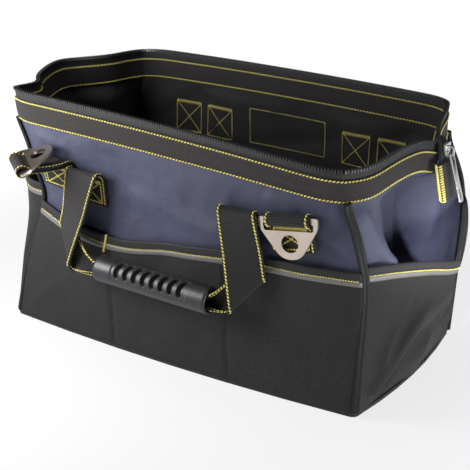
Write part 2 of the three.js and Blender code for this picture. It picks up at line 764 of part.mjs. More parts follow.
for (const loop of loops) {
  const frame = wallFrame(loop.side, loop.x, loop.z);
  const foot = frame.foot.clone();
  const { shape, centre } = loopSection(loop.arm);
  const webbingLoop = new THREE.ExtrudeGeometry(shape, {
    depth: loopWidth, steps: 2, bevelEnabled: false, curveSegments: 6,
  });
  const position = webbingLoop.attributes.position;
  for (let i = 0; i < position.count; i += 1) {
    const aside = loopWidth / 2 - position.getZ(i);
    const { point } = bentOut(frame, loop.turn, position.getX(i), aside);
    point.z += position.getY(i);
    point.applyAxisAngle(frame.out, radians(loop.lean));
    const spot = foot.clone().addScaledVector(frame.run, point.dot(frame.run));
    const under = wallFrame(loop.side, spot.x, loop.z + Math.min(point.z, 0)).foot;
    const slack = spot.sub(under).dot(frame.out) * (1 - smoothstep(point.z, -14, -4.5));
    point.add(foot).addScaledVector(frame.out, -slack);
    position.setXYZ(i, point.x, point.y, point.z);
  }
  addPiece(`ring_loop_${loop.name}`, closedSkin(webbingLoop), blackWebbing);
  const { point: pivot, heading, run } = bentOut(frame, loop.turn, centre.x, 0);
  pivot.add(foot);
  const angle = radians(loop.ringAngle);
  const rise = up.clone().multiplyScalar(Math.cos(angle)).addScaledVector(heading, -Math.sin(angle));
  rise.applyAxisAngle(frame.out, radians(loop.lean));
  run.applyAxisAngle(frame.out, radians(loop.lean));
  const plate = ringPlate();
  plate.applyMatrix4(new THREE.Matrix4().makeBasis(run, rise, run.clone().cross(rise)).setPosition(pivot));
  const ring = addPiece(`ring_${loop.name}`, closedSkin(plate), nickel);
  ring.userData.pivot = pivot.toArray();
  ring.userData.axis = run.toArray();
}

// Zip ends: the closed tail bent over the tip, its folded tab, the slider with its pull, and the far tab
const tip = mouthPoint('front', 1, bandTop);
const tailPath = tableOf(
  ['out', 'drop', 'station'],
  [
    [-1.5, -10, 0],
    [1.5, -11, 1],
    [4, -8, 2],
    [4.9, 0, 3],
    [5, 8.5, 4],
  ],
);
const tailWidth = 13;
const tailThickness = 2.4;
const tailPoint = (s) => new THREE.Vector3(
  tip.x + columnAt(tailPath, 'station', 'out', s), tip.y, tip.z - columnAt(tailPath, 'station', 'drop', s),
);
const zipTail = bentSlab(10, 1, (u, v, w) => {
  const s = u * (tailPath.length - 1);
  const forward = tailPoint(s + 0.05).sub(tailPoint(s - 0.05));
  const through = new THREE.Vector3(-forward.z, 0, forward.x).normalize();
  const point = tailPoint(s).addScaledVector(through, (w - 0.5) * tailThickness);
  point.y += (v - 0.5) * tailWidth;
  return point;
});
addPiece('zip_tail', zipTail, greyTape);

const tabLength = 34;
const tabWidth = 20;
const tabThickness = 7;
const tabOutline = roundedOutline(new THREE.Shape(), [
  [-tabWidth / 2, -tabLength, 2], [tabWidth / 2, -tabLength, 2],
  [tabWidth / 2, 0, 2], [-tabWidth / 2, 0, 2],
]);
const endTab = new THREE.ExtrudeGeometry(tabOutline, {
  depth: tabThickness - 1.6, bevelEnabled: true, bevelSize: 0.8, bevelThickness: 0.8,
  bevelSegments: 1, curveSegments: 2,
});
endTab.translate(0, 0, -tabThickness / 2 + 0.8);
endTab.rotateX(Math.PI / 2);
endTab.rotateZ(Math.PI / 2);
endTab.rotateY(radians(-10));
endTab.translate(tip.x + 6.3, tip.y, tip.z - 9.7);
addPiece('zip_end_tab', closedSkin(endTab), blackWebbing);

const sliderOutline = roundedOutline(new THREE.Shape(), [
  [-4, -6, 1.5], [4, -6, 1.5], [5, 6, 2], [-5, 6, 2],
]);
const slider = new THREE.ExtrudeGeometry(sliderOutline, {
  depth: 3.2, bevelEnabled: false, curveSegments: 2,
});
slider.rotateX(Math.PI / 2);
slider.rotateZ(Math.PI / 2);
const sliderAt = new THREE.Vector3(tip.x + 8.3, tip.y, tip.z + 3);
slider.translate(sliderAt.x - 1.6, sliderAt.y, sliderAt.z);
const bailOutline = roundedOutline(new THREE.Shape(), [
  [3, -5.5, 1], [9, -5.5, 2], [9, 3.5, 2], [3, 3.5, 1],
]);
bailOutline.holes.push(roundedOutline(new THREE.Path(), [
  [4.4, -4, 0.8], [7.4, -4, 1.2], [7.4, 2, 1.2], [4.4, 2, 0.8],
]));
const bail = new THREE.ExtrudeGeometry(bailOutline, { depth: 2.4, bevelEnabled: false, curveSegments: 2 });
bail.rotateX(Math.PI / 2);
bail.translate(sliderAt.x - 1.6, sliderAt.y + 1.2, sliderAt.z);
addPiece('zip_slider', toGeometry(toManifold(slider).add(toManifold(bail))), nickel);

const pullLength = 44;
const pullOutline = roundedOutline(new THREE.Shape(), [
  [4.4, 2.6, 2], [-4.4, 2.6, 2], [-3.6, -12, 3],
  [-4.2, -pullLength, 2.6], [4.2, -pullLength, 2.6], [3.6, -12, 3],
]);
pullOutline.holes.push(roundedOutline(new THREE.Path(), [
  [-2.4, 1, 0.8], [2.4, 1, 0.8], [2, -7, 1], [-2, -7, 1],
]));
pullOutline.holes.push(roundedOutline(new THREE.Path(), [
  [-1.2, -pullLength + 12, 0.8], [1.2, -pullLength + 12, 0.8],
  [1.2, -pullLength + 4, 0.8], [-1.2, -pullLength + 4, 0.8],
]));
const pull = new THREE.ExtrudeGeometry(pullOutline, { depth: 1.6, bevelEnabled: false, curveSegments: 2 });
pull.translate(0, -1.8, -0.8);
pull.rotateX(Math.PI / 2);
pull.rotateZ(Math.PI / 2);
const pullPivot = new THREE.Vector3(sliderAt.x + 4.3, sliderAt.y, sliderAt.z - 2.9);
pull.rotateY(radians(-16));
pull.translate(pullPivot.x, pullPivot.y, pullPivot.z);
const pullPiece = addPiece('zip_pull', closedSkin(pull), nickel);
pullPiece.userData.pivot = pullPivot.toArray();
pullPiece.userData.axis = [0, 1, 0];

const startTab = new THREE.BoxGeometry(9, 10, 1.6);
const startTip = mouthPoint('front', 0.03, bandTop);
startTab.rotateY(radians(14));
startTab.translate(startTip.x - 6.2, startTip.y - 4, startTip.z + 2);
addPiece('zip_start_tab', closedSkin(startTab), greyTape);

export default bag;
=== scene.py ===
# Wide-mouth tool bag: cloth, webbing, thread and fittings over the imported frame
import bmesh
import bpy
import math
from bisect import bisect_right
from functools import lru_cache
from mathutils import Matrix, Vector, noise


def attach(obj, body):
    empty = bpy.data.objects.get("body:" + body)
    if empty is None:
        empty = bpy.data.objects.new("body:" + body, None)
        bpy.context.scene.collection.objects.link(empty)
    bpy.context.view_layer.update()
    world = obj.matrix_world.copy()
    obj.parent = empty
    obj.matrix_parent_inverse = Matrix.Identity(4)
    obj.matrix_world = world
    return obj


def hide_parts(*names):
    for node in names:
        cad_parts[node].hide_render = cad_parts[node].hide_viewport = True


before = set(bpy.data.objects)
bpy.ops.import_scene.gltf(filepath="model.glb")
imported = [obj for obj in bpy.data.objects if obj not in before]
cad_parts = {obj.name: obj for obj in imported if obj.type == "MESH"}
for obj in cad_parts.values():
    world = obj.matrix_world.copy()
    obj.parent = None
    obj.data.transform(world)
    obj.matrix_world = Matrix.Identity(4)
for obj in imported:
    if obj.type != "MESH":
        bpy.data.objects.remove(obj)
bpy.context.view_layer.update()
mm = 0.001  # shapes are worked out in millimetres and scaled as they go into the mesh
up = Vector((0, 0, 1))
print("frame loaded:", len(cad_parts), "nodes")

cameraLook = {
    "azimuth": 32.52, "elevation": 23.44, "distance": 1.383, "target": (0.006, 0.0, 0.099),
    "lens": 105.7, "sensor": 36.0,
}
studio = {
    "skyStrength": 0.08,
    "floorSize": 9.0, "floorDrop": 0.0004, "floorTint": (0.14, 0.14, 0.14), "floorRoughness": 0.9,
    "floorGlow": (0.78, 1.0),  # beside the bag, and far off
    "floorFade": (0.3, 0.62),  # distances between the two
    "lampAim": (0, 0, 0.12),
    "lamps": [  # name, place, size, watts
        ("keyLamp", (-0.32, -0.36, 0.32), 0.25, 3.7),
        ("overheadLamp", (0.1, 0.1, 1.6), 1.0, 5.5),
        ("sideLamp", (0.7, -0.12, 0.03), 0.2, 4.2),
    ],
    "endSpot": {
        "place": (0.42, -0.8, 0.5), "aim": (0.225, 0.055, 0.122), "watts": 125, "cone": 9.0, "size": 0.03,
    },
}


# Small helpers for building node trees
def addNode(tree, kind, **settings):
    node = tree.nodes.new(kind)
    for key, value in settings.items():
        setattr(node, key, value)
    return node


def feed(tree, source, socket):
    if isinstance(source, bpy.types.NodeSocket):
        tree.links.new(source, socket)
    else:
        socket.default_value = source


def sums(tree, operation, *sources):
    node = addNode(tree, "ShaderNodeMath", operation=operation)
    for socket, source in zip(node.inputs, sources):
        feed(tree, source, socket)
    return node.outputs[0]


def blended(tree, first, second, share):
    return sums(tree, "MULTIPLY_ADD", first, share, sums(tree, "MULTIPLY", second, 1 - share))


def noiseOf(tree, vector, scale, detail=2.0):
    node = addNode(tree, "ShaderNodeTexNoise")
    feed(tree, vector, node.inputs["Vector"])
    feed(tree, scale, node.inputs["Scale"])
    node.inputs["Detail"].default_value = detail
    return node.outputs["Fac"]


def bumpOf(tree, height, strength, distance):
    node = addNode(tree, "ShaderNodeBump")
    node.inputs["Strength"].default_value = strength
    node.inputs["Distance"].default_value = distance
    feed(tree, height, node.inputs["Height"])
    return node


def startGroup(name, inputs, outputs):
    group = bpy.data.node_groups.new(name, "ShaderNodeTree")
    group.interface.new_socket(name="Vector", in_out="INPUT", socket_type="NodeSocketVector")
    for label, value in inputs:
        socket = group.interface.new_socket(name=label, in_out="INPUT", socket_type="NodeSocketFloat")
        socket.default_value = value
    for label in outputs:
        group.interface.new_socket(name=label, in_out="OUTPUT", socket_type="NodeSocketFloat")
    return group, addNode(group, "NodeGroupInput"), addNode(group, "NodeGroupOutput")


# Camera, light and floor
def putIn(obj):
    bpy.context.scene.collection.objects.link(obj)
    return obj


def makeCamera(look):
    turn, tilt = math.radians(look["azimuth"]), math.radians(look["elevation"])
    back = Vector((math.sin(turn) * math.cos(tilt), -math.cos(turn) * math.cos(tilt), math.sin(tilt)))
    data = bpy.data.cameras.new("photoCamera")
    data.lens = look["lens"]
    data.sensor_width = look["sensor"]
    camera = putIn(bpy.data.objects.new("photoCamera", data))
    camera.location = Vector(look["target"]) + back * look["distance"]
    camera.rotation_euler = (-back).to_track_quat("-Z", "Y").to_euler()
    bpy.context.scene.camera = camera


def aimedLamp(name, kind, place, aim, watts):
    data = bpy.data.lights.new(name, kind)
    data.energy = watts
    lamp = putIn(bpy.data.objects.new(name, data))
    lamp.location = place
    lamp.rotation_euler = (Vector(aim) - Vector(place)).to_track_quat("-Z", "Y").to_euler()
    return data


def makeLight(look):
    scene = bpy.context.scene
    scene.view_settings.view_transform = "Standard"
    world = bpy.data.worlds.new("paleRoom")
    world.use_nodes = True
    sky = world.node_tree.nodes["Background"]
    sky.inputs["Color"].default_value = (1, 1, 1, 1)
    sky.inputs["Strength"].default_value = look["skyStrength"]
    scene.world = world
    for name, place, size, watts in look["lamps"]:
        aimedLamp(name, "AREA", place, look["lampAim"], watts).size = size
    spot = look["endSpot"]
    data = aimedLamp("endSpot", "SPOT", spot["place"], spot["aim"], spot["watts"])
    data.spot_size = math.radians(spot["cone"])
    data.spot_blend = 1
    data.shadow_soft_size = spot["size"]


def makeFloor(look):
    bm = bmesh.new()
    bmesh.ops.create_grid(bm, x_segments=2, y_segments=2, size=look["floorSize"])
    bmesh.ops.translate(bm, verts=bm.verts[:], vec=(0, 0, -look["floorDrop"]))
    mesh = bpy.data.meshes.new("paleFloor")
    bm.to_mesh(mesh)
    bm.free()
    paper = bpy.data.materials.new("paleFloorPaper")
    paper.use_nodes = True
    tree = paper.node_tree
    shader = tree.nodes["Principled BSDF"]
    shader.inputs["Base Color"].default_value = (*look["floorTint"], 1)
    shader.inputs["Roughness"].default_value = look["floorRoughness"]
    shader.inputs["Emission Color"].default_value = (1, 1, 1, 1)
    reach = addNode(tree, "ShaderNodeVectorMath", operation="LENGTH")
    feed(tree, addNode(tree, "ShaderNodeTexCoord").outputs["Object"], reach.inputs[0])
    glow = addNode(tree, "ShaderNodeMapRange", interpolation_type="SMOOTHSTEP")
    for socket, value in zip(glow.inputs[1:5], (*look["floorFade"], *look["floorGlow"])):
        socket.default_value = value
    feed(tree, reach.outputs["Value"], glow.inputs["Value"])
    feed(tree, glow.outputs["Result"], shader.inputs["Emission Strength"])
    mesh.materials.append(paper)
    putIn(bpy.data.objects.new("paleFloor", mesh))


makeCamera(cameraLook)
makeLight(studio)
makeFloor(studio)
print("camera and studio set")


# Plain weave: warp and weft crossing, with uneven yarns; the colour output is painted shade, lighter on the
# raised crossings and darker in the hollows, mixed with the yarn tone
def makePlainWeave():
    group, start, end = startGroup("plainWeave", [("Threads", 900.0), ("Slub", 0.6)], ["Height", "ToneAndShade"])
    yarn = noiseOf(group, start.outputs["Vector"], 260.0)
    drift = sums(group, "MULTIPLY", sums(group, "SUBTRACT", yarn, 0.5), start.outputs["Slub"])
    threads = addNode(group, "ShaderNodeVectorMath", operation="SCALE")
    feed(group, start.outputs["Vector"], threads.inputs[0])
    feed(group, start.outputs["Threads"], threads.inputs["Scale"])
    split = addNode(group, "ShaderNodeSeparateXYZ")
    feed(group, threads.outputs[0], split.inputs[0])
    warp, weft = [
        sums(group, "SINE", sums(group, "MULTIPLY", sums(group, "ADD", axis, drift), math.pi))
        for axis in split.outputs[:2]
    ]
    height = sums(group, "MULTIPLY_ADD", sums(group, "MULTIPLY", warp, weft), 0.5, 0.5)
    feed(group, height, end.inputs["Height"])
    # Painted shade: the weave's height lightens the crossings and darkens the hollows in the colour, mixed with
    # the yarn tone
    feed(group, blended(group, height, yarn, 0.45), end.inputs["ToneAndShade"])
    return group


# Ribbed webbing: ribs across the strap, bent to a chevron, with the yarns along it; the colour output is
# painted shade, lighter on the rib crests and darker in the grooves, mixed with the flecks
def makeRibbedWeb():
    group, start, end = startGroup("ribbedWeb", [("Ribs", 520.0), ("Chevrons", 150.0)], ["Height", "ToneAndShade"])
    split = addNode(group, "ShaderNodeSeparateXYZ")
    feed(group, start.outputs["Vector"], split.inputs[0])
    along = sums(group, "MULTIPLY", split.outputs[0], start.outputs["Ribs"])
    across = sums(group, "MULTIPLY", split.outputs[1], start.outputs["Chevrons"])
    phase = sums(group, "ADD", along, sums(group, "PINGPONG", across, 1.0))
    rib = sums(group, "ABSOLUTE", sums(group, "SINE", sums(group, "MULTIPLY", phase, math.pi)))
    fleck = noiseOf(group, start.outputs["Vector"], 420.0)
    feed(group, blended(group, fleck, rib, 0.35), end.inputs["Height"])
    # Painted shade: the rib height lightens the crests and darkens the grooves in the colour, mixed with the
    # flecks
    feed(group, blended(group, rib, fleck, 0.5), end.inputs["ToneAndShade"])
    return group


# Uneven tone over a piece: broad patches, small flecks and a faint rub
def makeUnevenTone():
    group, start, end = startGroup("unevenTone", [("Patch", 11.0), ("Fleck", 90.0)], ["Tone", "Rub"])
    patch = noiseOf(group, start.outputs["Vector"], start.outputs["Patch"])
    fleck = noiseOf(group, start.outputs["Vector"], start.outputs["Fleck"])
    feed(group, blended(group, patch, fleck, 0.65), end.inputs["Tone"])
    rub = sums(group, "SMOOTH_MAX", sums(group, "SUBTRACT", patch, 0.55), 0.0, 0.1)
    feed(group, rub, end.inputs["Rub"])
    return group


plainWeave = makePlainWeave()
ribbedWeb = makeRibbedWeb()
unevenTone = makeUnevenTone()
finishes = {}
bumpDepth = {"weave": 0.0006, "crease": 0.006, "grain": 0.0004}


def tint(red, green, blue):
    def curve(c):
        c /= 255
        return c / 12.92 if c <= 0.04045 else ((c + 0.055) / 1.055) ** 2.4
    return (curve(red), curve(green), curve(blue), 1)


# A new finish with its shader, the place within the piece and the uneven tone there
def startFinish(name):
    finish = bpy.data.materials.new(name)
    finish.use_nodes = True
    finishes[name] = finish
    tree = finish.node_tree
    solid = addNode(tree, "ShaderNodeTexCoord").outputs["Object"]
    tone = addNode(tree, "ShaderNodeGroup", node_tree=unevenTone)
    feed(tree, solid, tone.inputs["Vector"])
    return tree, tree.nodes["Principled BSDF"], solid, tone


def twoTones(tree, shader, factor, look):
    blend = addNode(tree, "ShaderNodeMix", data_type="RGBA")
    feed(tree, factor, blend.inputs[0])
    blend.inputs[6].default_value = tint(*look["dark"])
    blend.inputs[7].default_value = tint(*look["light"])
    feed(tree, blend.outputs[2], shader.inputs["Base Color"])


# One woven finish: two tones of yarn, mixed by the uneven tone and by the weave's painted shade, and a bump
# from the weave laid over soft creases
def wovenFinish(name, look):
    tree, shader, solid, tone = startFinish(name)
    coords = solid
    if look["coords"] == "uv":
        coords = addNode(tree, "ShaderNodeUVMap", uv_map="cloth").outputs["UV"]
    pattern = addNode(tree, "ShaderNodeGroup", node_tree=look["pattern"])
    feed(tree, coords, pattern.inputs["Vector"])
    for label, value in look["weave"].items():
        pattern.inputs[label].default_value = value
    # The look's share of the weave pattern, with its painted shade from the height, mixes with the uneven tone
    # into the colour
    yarnsAndShade = blended(tree, pattern.outputs["ToneAndShade"], tone.outputs["Tone"], look["yarnAndShadeShow"])
    twoTones(tree, shader, yarnsAndShade, look)
    rough = sums(tree, "MULTIPLY_ADD", tone.outputs["Tone"], 0.2, look["roughness"] - 0.1)
    feed(tree, rough, shader.inputs["Roughness"])
    folds = noiseOf(tree, solid, look["creaseScale"], 3.0)
    crease = bumpOf(tree, folds, look["creaseStrength"], bumpDepth["crease"])
    weave = bumpOf(tree, pattern.outputs["Height"], look["bump"], bumpDepth["weave"])
    feed(tree, crease.outputs["Normal"], weave.inputs["Normal"])
    feed(tree, weave.outputs["Normal"], shader.inputs["Normal"])
    shader.inputs["Sheen Weight"].default_value = look["sheen"]
    shader.inputs["Sheen Roughness"].default_value = 0.45
    shader.inputs["Sheen Tint"].default_value = tint(*look["sheenTint"])
    shader.inputs["Specular IOR Level"].default_value = look["gloss"]


wovenLooks = {
    "navyCloth": {
        "coords": "uv", "pattern": plainWeave, "weave": {"Threads": 900.0, "Slub": 0.7}, "yarnAndShadeShow": 0.45,
        "dark": (38, 40, 58), "light": (66, 69, 92), "roughness": 0.55, "bump": 0.45, "creaseStrength": 0.5,
        "creaseScale": 38.0, "sheen": 0.12, "sheenTint": (190, 194, 220), "gloss": 0.35,
    },
    "blackCloth": {
        "coords": "uv", "pattern": plainWeave, "weave": {"Threads": 850.0, "Slub": 0.7}, "yarnAndShadeShow": 0.5,
        "dark": (15, 14, 15), "light": (48, 47, 48), "roughness": 0.68, "bump": 0.7, "creaseStrength": 0.35,
        "creaseScale": 34.0, "sheen": 0.05, "sheenTint": (200, 196, 200), "gloss": 0.2,
    },
    "liningCloth": {
        "coords": "uv", "pattern": plainWeave, "weave": {"Threads": 800.0, "Slub": 0.6}, "yarnAndShadeShow": 0.4,
        "dark": (20, 20, 20), "light": (38, 38, 37), "roughness": 0.7, "bump": 0.3, "creaseStrength": 0.3,
        "creaseScale": 30.0, "sheen": 0.05, "sheenTint": (200, 200, 196), "gloss": 0.3,
    },
    "baseBoard": {
        "coords": "object", "pattern": plainWeave, "weave": {"Threads": 700.0, "Slub": 0.5}, "yarnAndShadeShow": 0.5,
        "dark": (20, 20, 21), "light": (40, 39, 40), "roughness": 0.7, "bump": 0.4, "creaseStrength": 0.15,
        "creaseScale": 30.0, "sheen": 0.05, "sheenTint": (200, 200, 200), "gloss": 0.35,
    },
    "strapWebbing": {
        "coords": "uv", "pattern": ribbedWeb, "weave": {"Ribs": 480.0, "Chevrons": 0.0}, "yarnAndShadeShow": 0.85,
        "dark": (6, 6, 6), "light": (50, 48, 48), "roughness": 0.72, "bump": 1.0, "creaseStrength": 0.12,
        "creaseScale": 40.0, "sheen": 0.05, "sheenTint": (205, 200, 196), "gloss": 0.2,
    },
    "bandWebbing": {
        "coords": "uv", "pattern": ribbedWeb, "weave": {"Ribs": 560.0, "Chevrons": 210.0}, "yarnAndShadeShow": 0.8,
        "dark": (7, 7, 7), "light": (60, 57, 57), "roughness": 0.72, "bump": 1.0, "creaseStrength": 0.12,
        "creaseScale": 30.0, "sheen": 0.05, "sheenTint": (205, 196, 190), "gloss": 0.2,
    },
    "hemBinding": {
        "coords": "uv", "pattern": ribbedWeb, "weave": {"Ribs": 640.0, "Chevrons": 420.0}, "yarnAndShadeShow": 0.7,
        "dark": (15, 15, 16), "light": (38, 37, 40), "roughness": 0.62, "bump": 0.5, "creaseStrength": 0.15,
        "creaseScale": 40.0, "sheen": 0.05, "sheenTint": (200, 200, 205), "gloss": 0.3,
    },
    "pipingCord": {
        "coords": "uv", "pattern": plainWeave, "weave": {"Threads": 900.0, "Slub": 0.4}, "yarnAndShadeShow": 0.5,
        "dark": (8, 8, 9), "light": (24, 24, 26), "roughness": 0.55, "bump": 0.3, "creaseStrength": 0.2,
        "creaseScale": 60.0, "sheen": 0.0, "sheenTint": (255, 255, 255), "gloss": 0.25,
    },
    "reflectiveTape": {
        "coords": "uv", "pattern": plainWeave, "weave": {"Threads": 1400.0, "Slub": 0.4}, "yarnAndShadeShow": 0.5,
        "dark": (72, 71, 69), "light": (110, 108, 105), "roughness": 0.45, "bump": 0.25, "creaseStrength": 0.2,
        "creaseScale": 40.0, "sheen": 0.0, "sheenTint": (255, 255, 255), "gloss": 0.6,
    },
    "zipTape": {
        "coords": "object", "pattern": plainWeave, "weave": {"Threads": 1100.0, "Slub": 0.4}, "yarnAndShadeShow": 0.5,
        "dark": (18, 18, 20), "light": (44, 44, 47), "roughness": 0.7, "bump": 0.4, "creaseStrength": 0.1,
        "creaseScale": 40.0, "sheen": 0.05, "sheenTint": (200, 200, 200), "gloss": 0.35,
    },
    "tabWebbing": {
        "coords": "object", "pattern": plainWeave, "weave": {"Threads": 620.0, "Slub": 0.5}, "yarnAndShadeShow": 0.6,
        "dark": (15, 14, 15), "light": (48, 46, 46), "roughness": 0.72, "bump": 0.6, "creaseStrength": 0.1,
        "creaseScale": 40.0, "sheen": 0.08, "sheenTint": (205, 200, 196), "gloss": 0.35,
    },
    "yellowThread": {
        "coords": "object", "pattern": plainWeave, "weave": {"Threads": 1900.0, "Slub": 0.8}, "yarnAndShadeShow": 0.5,
        "dark": (172, 150, 38), "light": (250, 240, 146), "roughness": 0.55, "bump": 0.5, "creaseStrength": 0.0,
        "creaseScale": 40.0, "sheen": 0.2, "sheenTint": (255, 240, 190), "gloss": 0.4,
    },
}
for finishName, finishLook in wovenLooks.items():
    wovenFinish(finishName, finishLook)


# Hard finishes: moulded plastic and nickel, with grain, tone and a rubbed sheen, and slotShade, a near-black
# painted shade for the grip's slot floors
def hardFinish(name, look):
    tree, shader, solid, tone = startFinish(name)
    tone.inputs["Patch"].default_value = look["patch"]
    tone.inputs["Fleck"].default_value = look["fleck"]
    twoTones(tree, shader, tone.outputs["Tone"], look)
    rough = sums(tree, "MULTIPLY_ADD", tone.outputs["Rub"], -0.5, look["roughness"])
    feed(tree, rough, shader.inputs["Roughness"])
    shader.inputs["Metallic"].default_value = look["metal"]
    bump = bumpOf(tree, noiseOf(tree, solid, look["grain"], 4.0), look["bump"], bumpDepth["grain"])
    feed(tree, bump.outputs["Normal"], shader.inputs["Normal"])


hardLooks = {
    "gripPlastic": {
        "dark": (24, 24, 27), "light": (38, 38, 42), "patch": 30.0, "fleck": 300.0, "roughness": 0.44,
        "metal": 0.0, "bump": 0.25, "grain": 900.0,
    },
    "satinNickel": {
        "dark": (168, 156, 145), "light": (218, 205, 192), "patch": 45.0, "fleck": 400.0, "roughness": 0.34,
        "metal": 1.0, "bump": 0.12, "grain": 700.0,
    },
    "brightNickel": {
        "dark": (150, 148, 146), "light": (212, 210, 207), "patch": 60.0, "fleck": 400.0, "roughness": 0.27,
        "metal": 1.0, "bump": 0.08, "grain": 500.0,
    },
    # A painted shade: near-black for the deep floors of the grip's slots, where the shadow falls
    "slotShade": {
        "dark": (7, 7, 8), "light": (13, 13, 14), "patch": 30.0, "fleck": 300.0, "roughness": 0.8,
        "metal": 0.0, "bump": 0.25, "grain": 900.0,
    },
    "zipTeeth": {
        "dark": (18, 18, 20), "light": (46, 46, 48), "patch": 300.0, "fleck": 900.0, "roughness": 0.55,
        "metal": 0.0, "bump": 0.2, "grain": 900.0,
    },
}
for finishName, finishLook in hardLooks.items():
    hardFinish(finishName, finishLook)
print("finishes made:", ", ".join(finishes))


# The bag's form: heights and reaches of the walls, worked out the same way as the frame under them
def rowsOf(columns, rows):
    return [dict(zip(columns.split(), row)) for row in rows]


def clamp(x, low=0.0, high=1.0):
    return min(max(x, low), high)


def mix(a, b, f):
    return a + (b - a) * f


def smooth(x, low, high):
    f = clamp((x - low) / (high - low))
    return f * f * (3 - 2 * f)


# A smooth curve through one column of a table
def columnAt(table, key, name, place):
    last = len(table) - 1
    if place <= table[0][key]:
        return table[0][name]
    if place >= table[last][key]:
        return table[last][name]
    i = 0
    while table[i + 1][key] < place:
        i += 1

    def slope(a, b):
        return (table[b][name] - table[a][name]) / (table[b][key] - table[a][key])
    span = table[i + 1][key] - table[i][key]
    f = (place - table[i][key]) / span
    startSlope = slope(max(i - 1, 0), i + 1) * span
    endSlope = slope(i, min(i + 2, last)) * span
    return ((2 * f**3 - 3 * f**2 + 1) * table[i][name] + (f**3 - 2 * f**2 + f) * startSlope
            + (3 * f**2 - 2 * f**3) * table[i + 1][name] + (f**3 - f**2) * endSlope)


bagForm = {
    "cloth": 2.0, "tuck": 1.0, "wallFoot": 3.85, "wallTop": 219.0, "bandBottom": 213.0, "bandTop": 236.0,
    "bandProud": 1.3, "zipTop": 242.5, "tipGap": 0.001, "mouthEase": 0.012, "mouthEnds": 0.03,
    "foldQuiet": 14.0, "foldEnds": 0.1, "pocketFoldEnds": 0.14, "pocketFoldFoot": (8, 50), "liftFoot": 120.0,
    "cornerRound": 5.0, "cornerRoundWidth": 16.0, "cornerRoundFoot": 160.0,
    "bindingHeight": 9.5, "bindingProud": 0.8, "reflectorHeight": 5.2,
    "pocketSeat": 0.55, "flatPocketEase": 1.8, "flatPocketPuff": 1.0, "endPocketStandoff": 2.7,
}
normalStep = {"along": 0.006, "height": 1.5}
sections = rowsOf(
    "height frontLeftX frontLeftY frontRightX frontRightY backRightX backRightY backLeftX backLeftY "
    "frontReach backReach rightReach leftReach",
    [
        (0, -197, -98.5, 197, -98.5, 197, 98.5, -197, 98.5, 8, 5, 7, 6),
        (60, -183, -96, 200, -99.5, 200, 100.5, -198, 100.5, 12, 8, 9, 10),
        (135, -161, -90, 203, -101, 203, 103, -195, 102, 15, 10, 13, 20),
        (180, -173, -97, 197, -105, 196, 107, -190, 105, 13, 8, 21, 25),
        (213, -189, -102, 189.5, -109.5, 188, 110, -184, 107, 8, 4, 30, 28),
        (243, -195, -102, 188, -113, 187, 113, -182, 108, 5, 3, 37, 32),
    ],
)
pocketReach = rowsOf(
    "height right left",
    [(0, 7, 6), (25, 17, 16), (60, 26, 28), (100, 34, 46), (130, 43, 60), (155, 47, 64)],
)
hems = rowsOf("along front right back left", [
    (0, 133, 152, 152, 151), (0.16, 122, 147, 149, 148), (0.32, 122, 140, 146, 143),
    (0.5, 134.5, 131, 144, 140), (0.7, 143.5, 138, 146, 145), (0.94, 148, 149, 150, 150),
    (1, 149, 151, 151, 149),
])
lifts = rowsOf(
    "along front right back left",
    [(0, 2, -7, -3, -5), (0.13, 3.1, -6, -2.4, -4.1), (0.27, 3.5, 1, -2, -3.1), (0.38, 3.3, 3, -1.9, -2.3),
     (0.48, 2.7, -3, -2, -1.6), (0.7, -0.1, -6, -2.7, -7), (1, -7, -3, -5, 2)],
)
leftEnd = rowsOf("along share", [
    (0, 0), (0.1, 0.03), (0.2, 0.13), (0.28, 0.36), (0.36, 0.69), (0.43, 0.92), (0.5, 1), (0.6, 0.93),
    (0.67, 0.7), (0.74, 0.3), (0.87, 0.12), (1, 0),
])
foldColumns = "side fromAlong fromHeight toAlong toHeight width out"
wallFolds = rowsOf(foldColumns, [
    ("right", 0.32, 196, 0.34, 60, 24, -20), ("right", 0.68, 194, 0.66, 60, 24, -14),
    ("right", 0.04, 203, 0.21, 126, 10, 9), ("right", 0.5, 198, 0.49, 110, 9, 6),
    ("left", 0.72, 196, 0.7, 60, 24, -13), ("left", 0.28, 194, 0.31, 60, 25, -12),
    ("front", 0.34, 190, 0.44, 110, 26, -4), ("front", 0.76, 200, 0.86, 130, 20, 1),
    ("back", 0.3, 190, 0.24, 110, 26, -3), ("back", 0.68, 190, 0.74, 110, 26, -3),
])
pocketFolds = rowsOf(foldColumns, [
    ("right", 0.06, 12, 0.46, 96, 11, 5), ("right", 0.24, 8, 0.52, 62, 12, -4),
    ("right", 0.94, 12, 0.58, 92, 12, 4), ("left", 0.06, 12, 0.42, 92, 12, 4),
    ("left", 0.94, 14, 0.6, 90, 12, 4),
])
sides = {
    "front": {"first": "frontLeft", "last": "frontRight", "outward": Vector((0, -1, 0)), "tip": None},
    "right": {"first": "frontRight", "last": "backRight", "outward": Vector((1, 0, 0)), "tip": 0.48,
              "firstPower": 1, "lastPower": 1.9, "pocketFirst": 0.95, "pocketLast": 0.8},
    "back": {"first": "backRight", "last": "backLeft", "outward": Vector((0, 1, 0)), "tip": None},
    "left": {"first": "backLeft", "last": "frontLeft", "outward": Vector((-1, 0, 0)), "tip": 0.67,
             "share": leftEnd, "pocketFirst": 0.8, "pocketLast": 0.36},
}
cornerSigns = {"frontLeft": (-1, -1), "frontRight": (1, -1), "backRight": (1, 1), "backLeft": (-1, 1)}


@lru_cache(maxsize=200000)
def sectionAt(name, height):
    return columnAt(sections, "height", name, height)


def cornerAt(name, height):
    return Vector((sectionAt(name + "X", height), sectionAt(name + "Y", height), height))


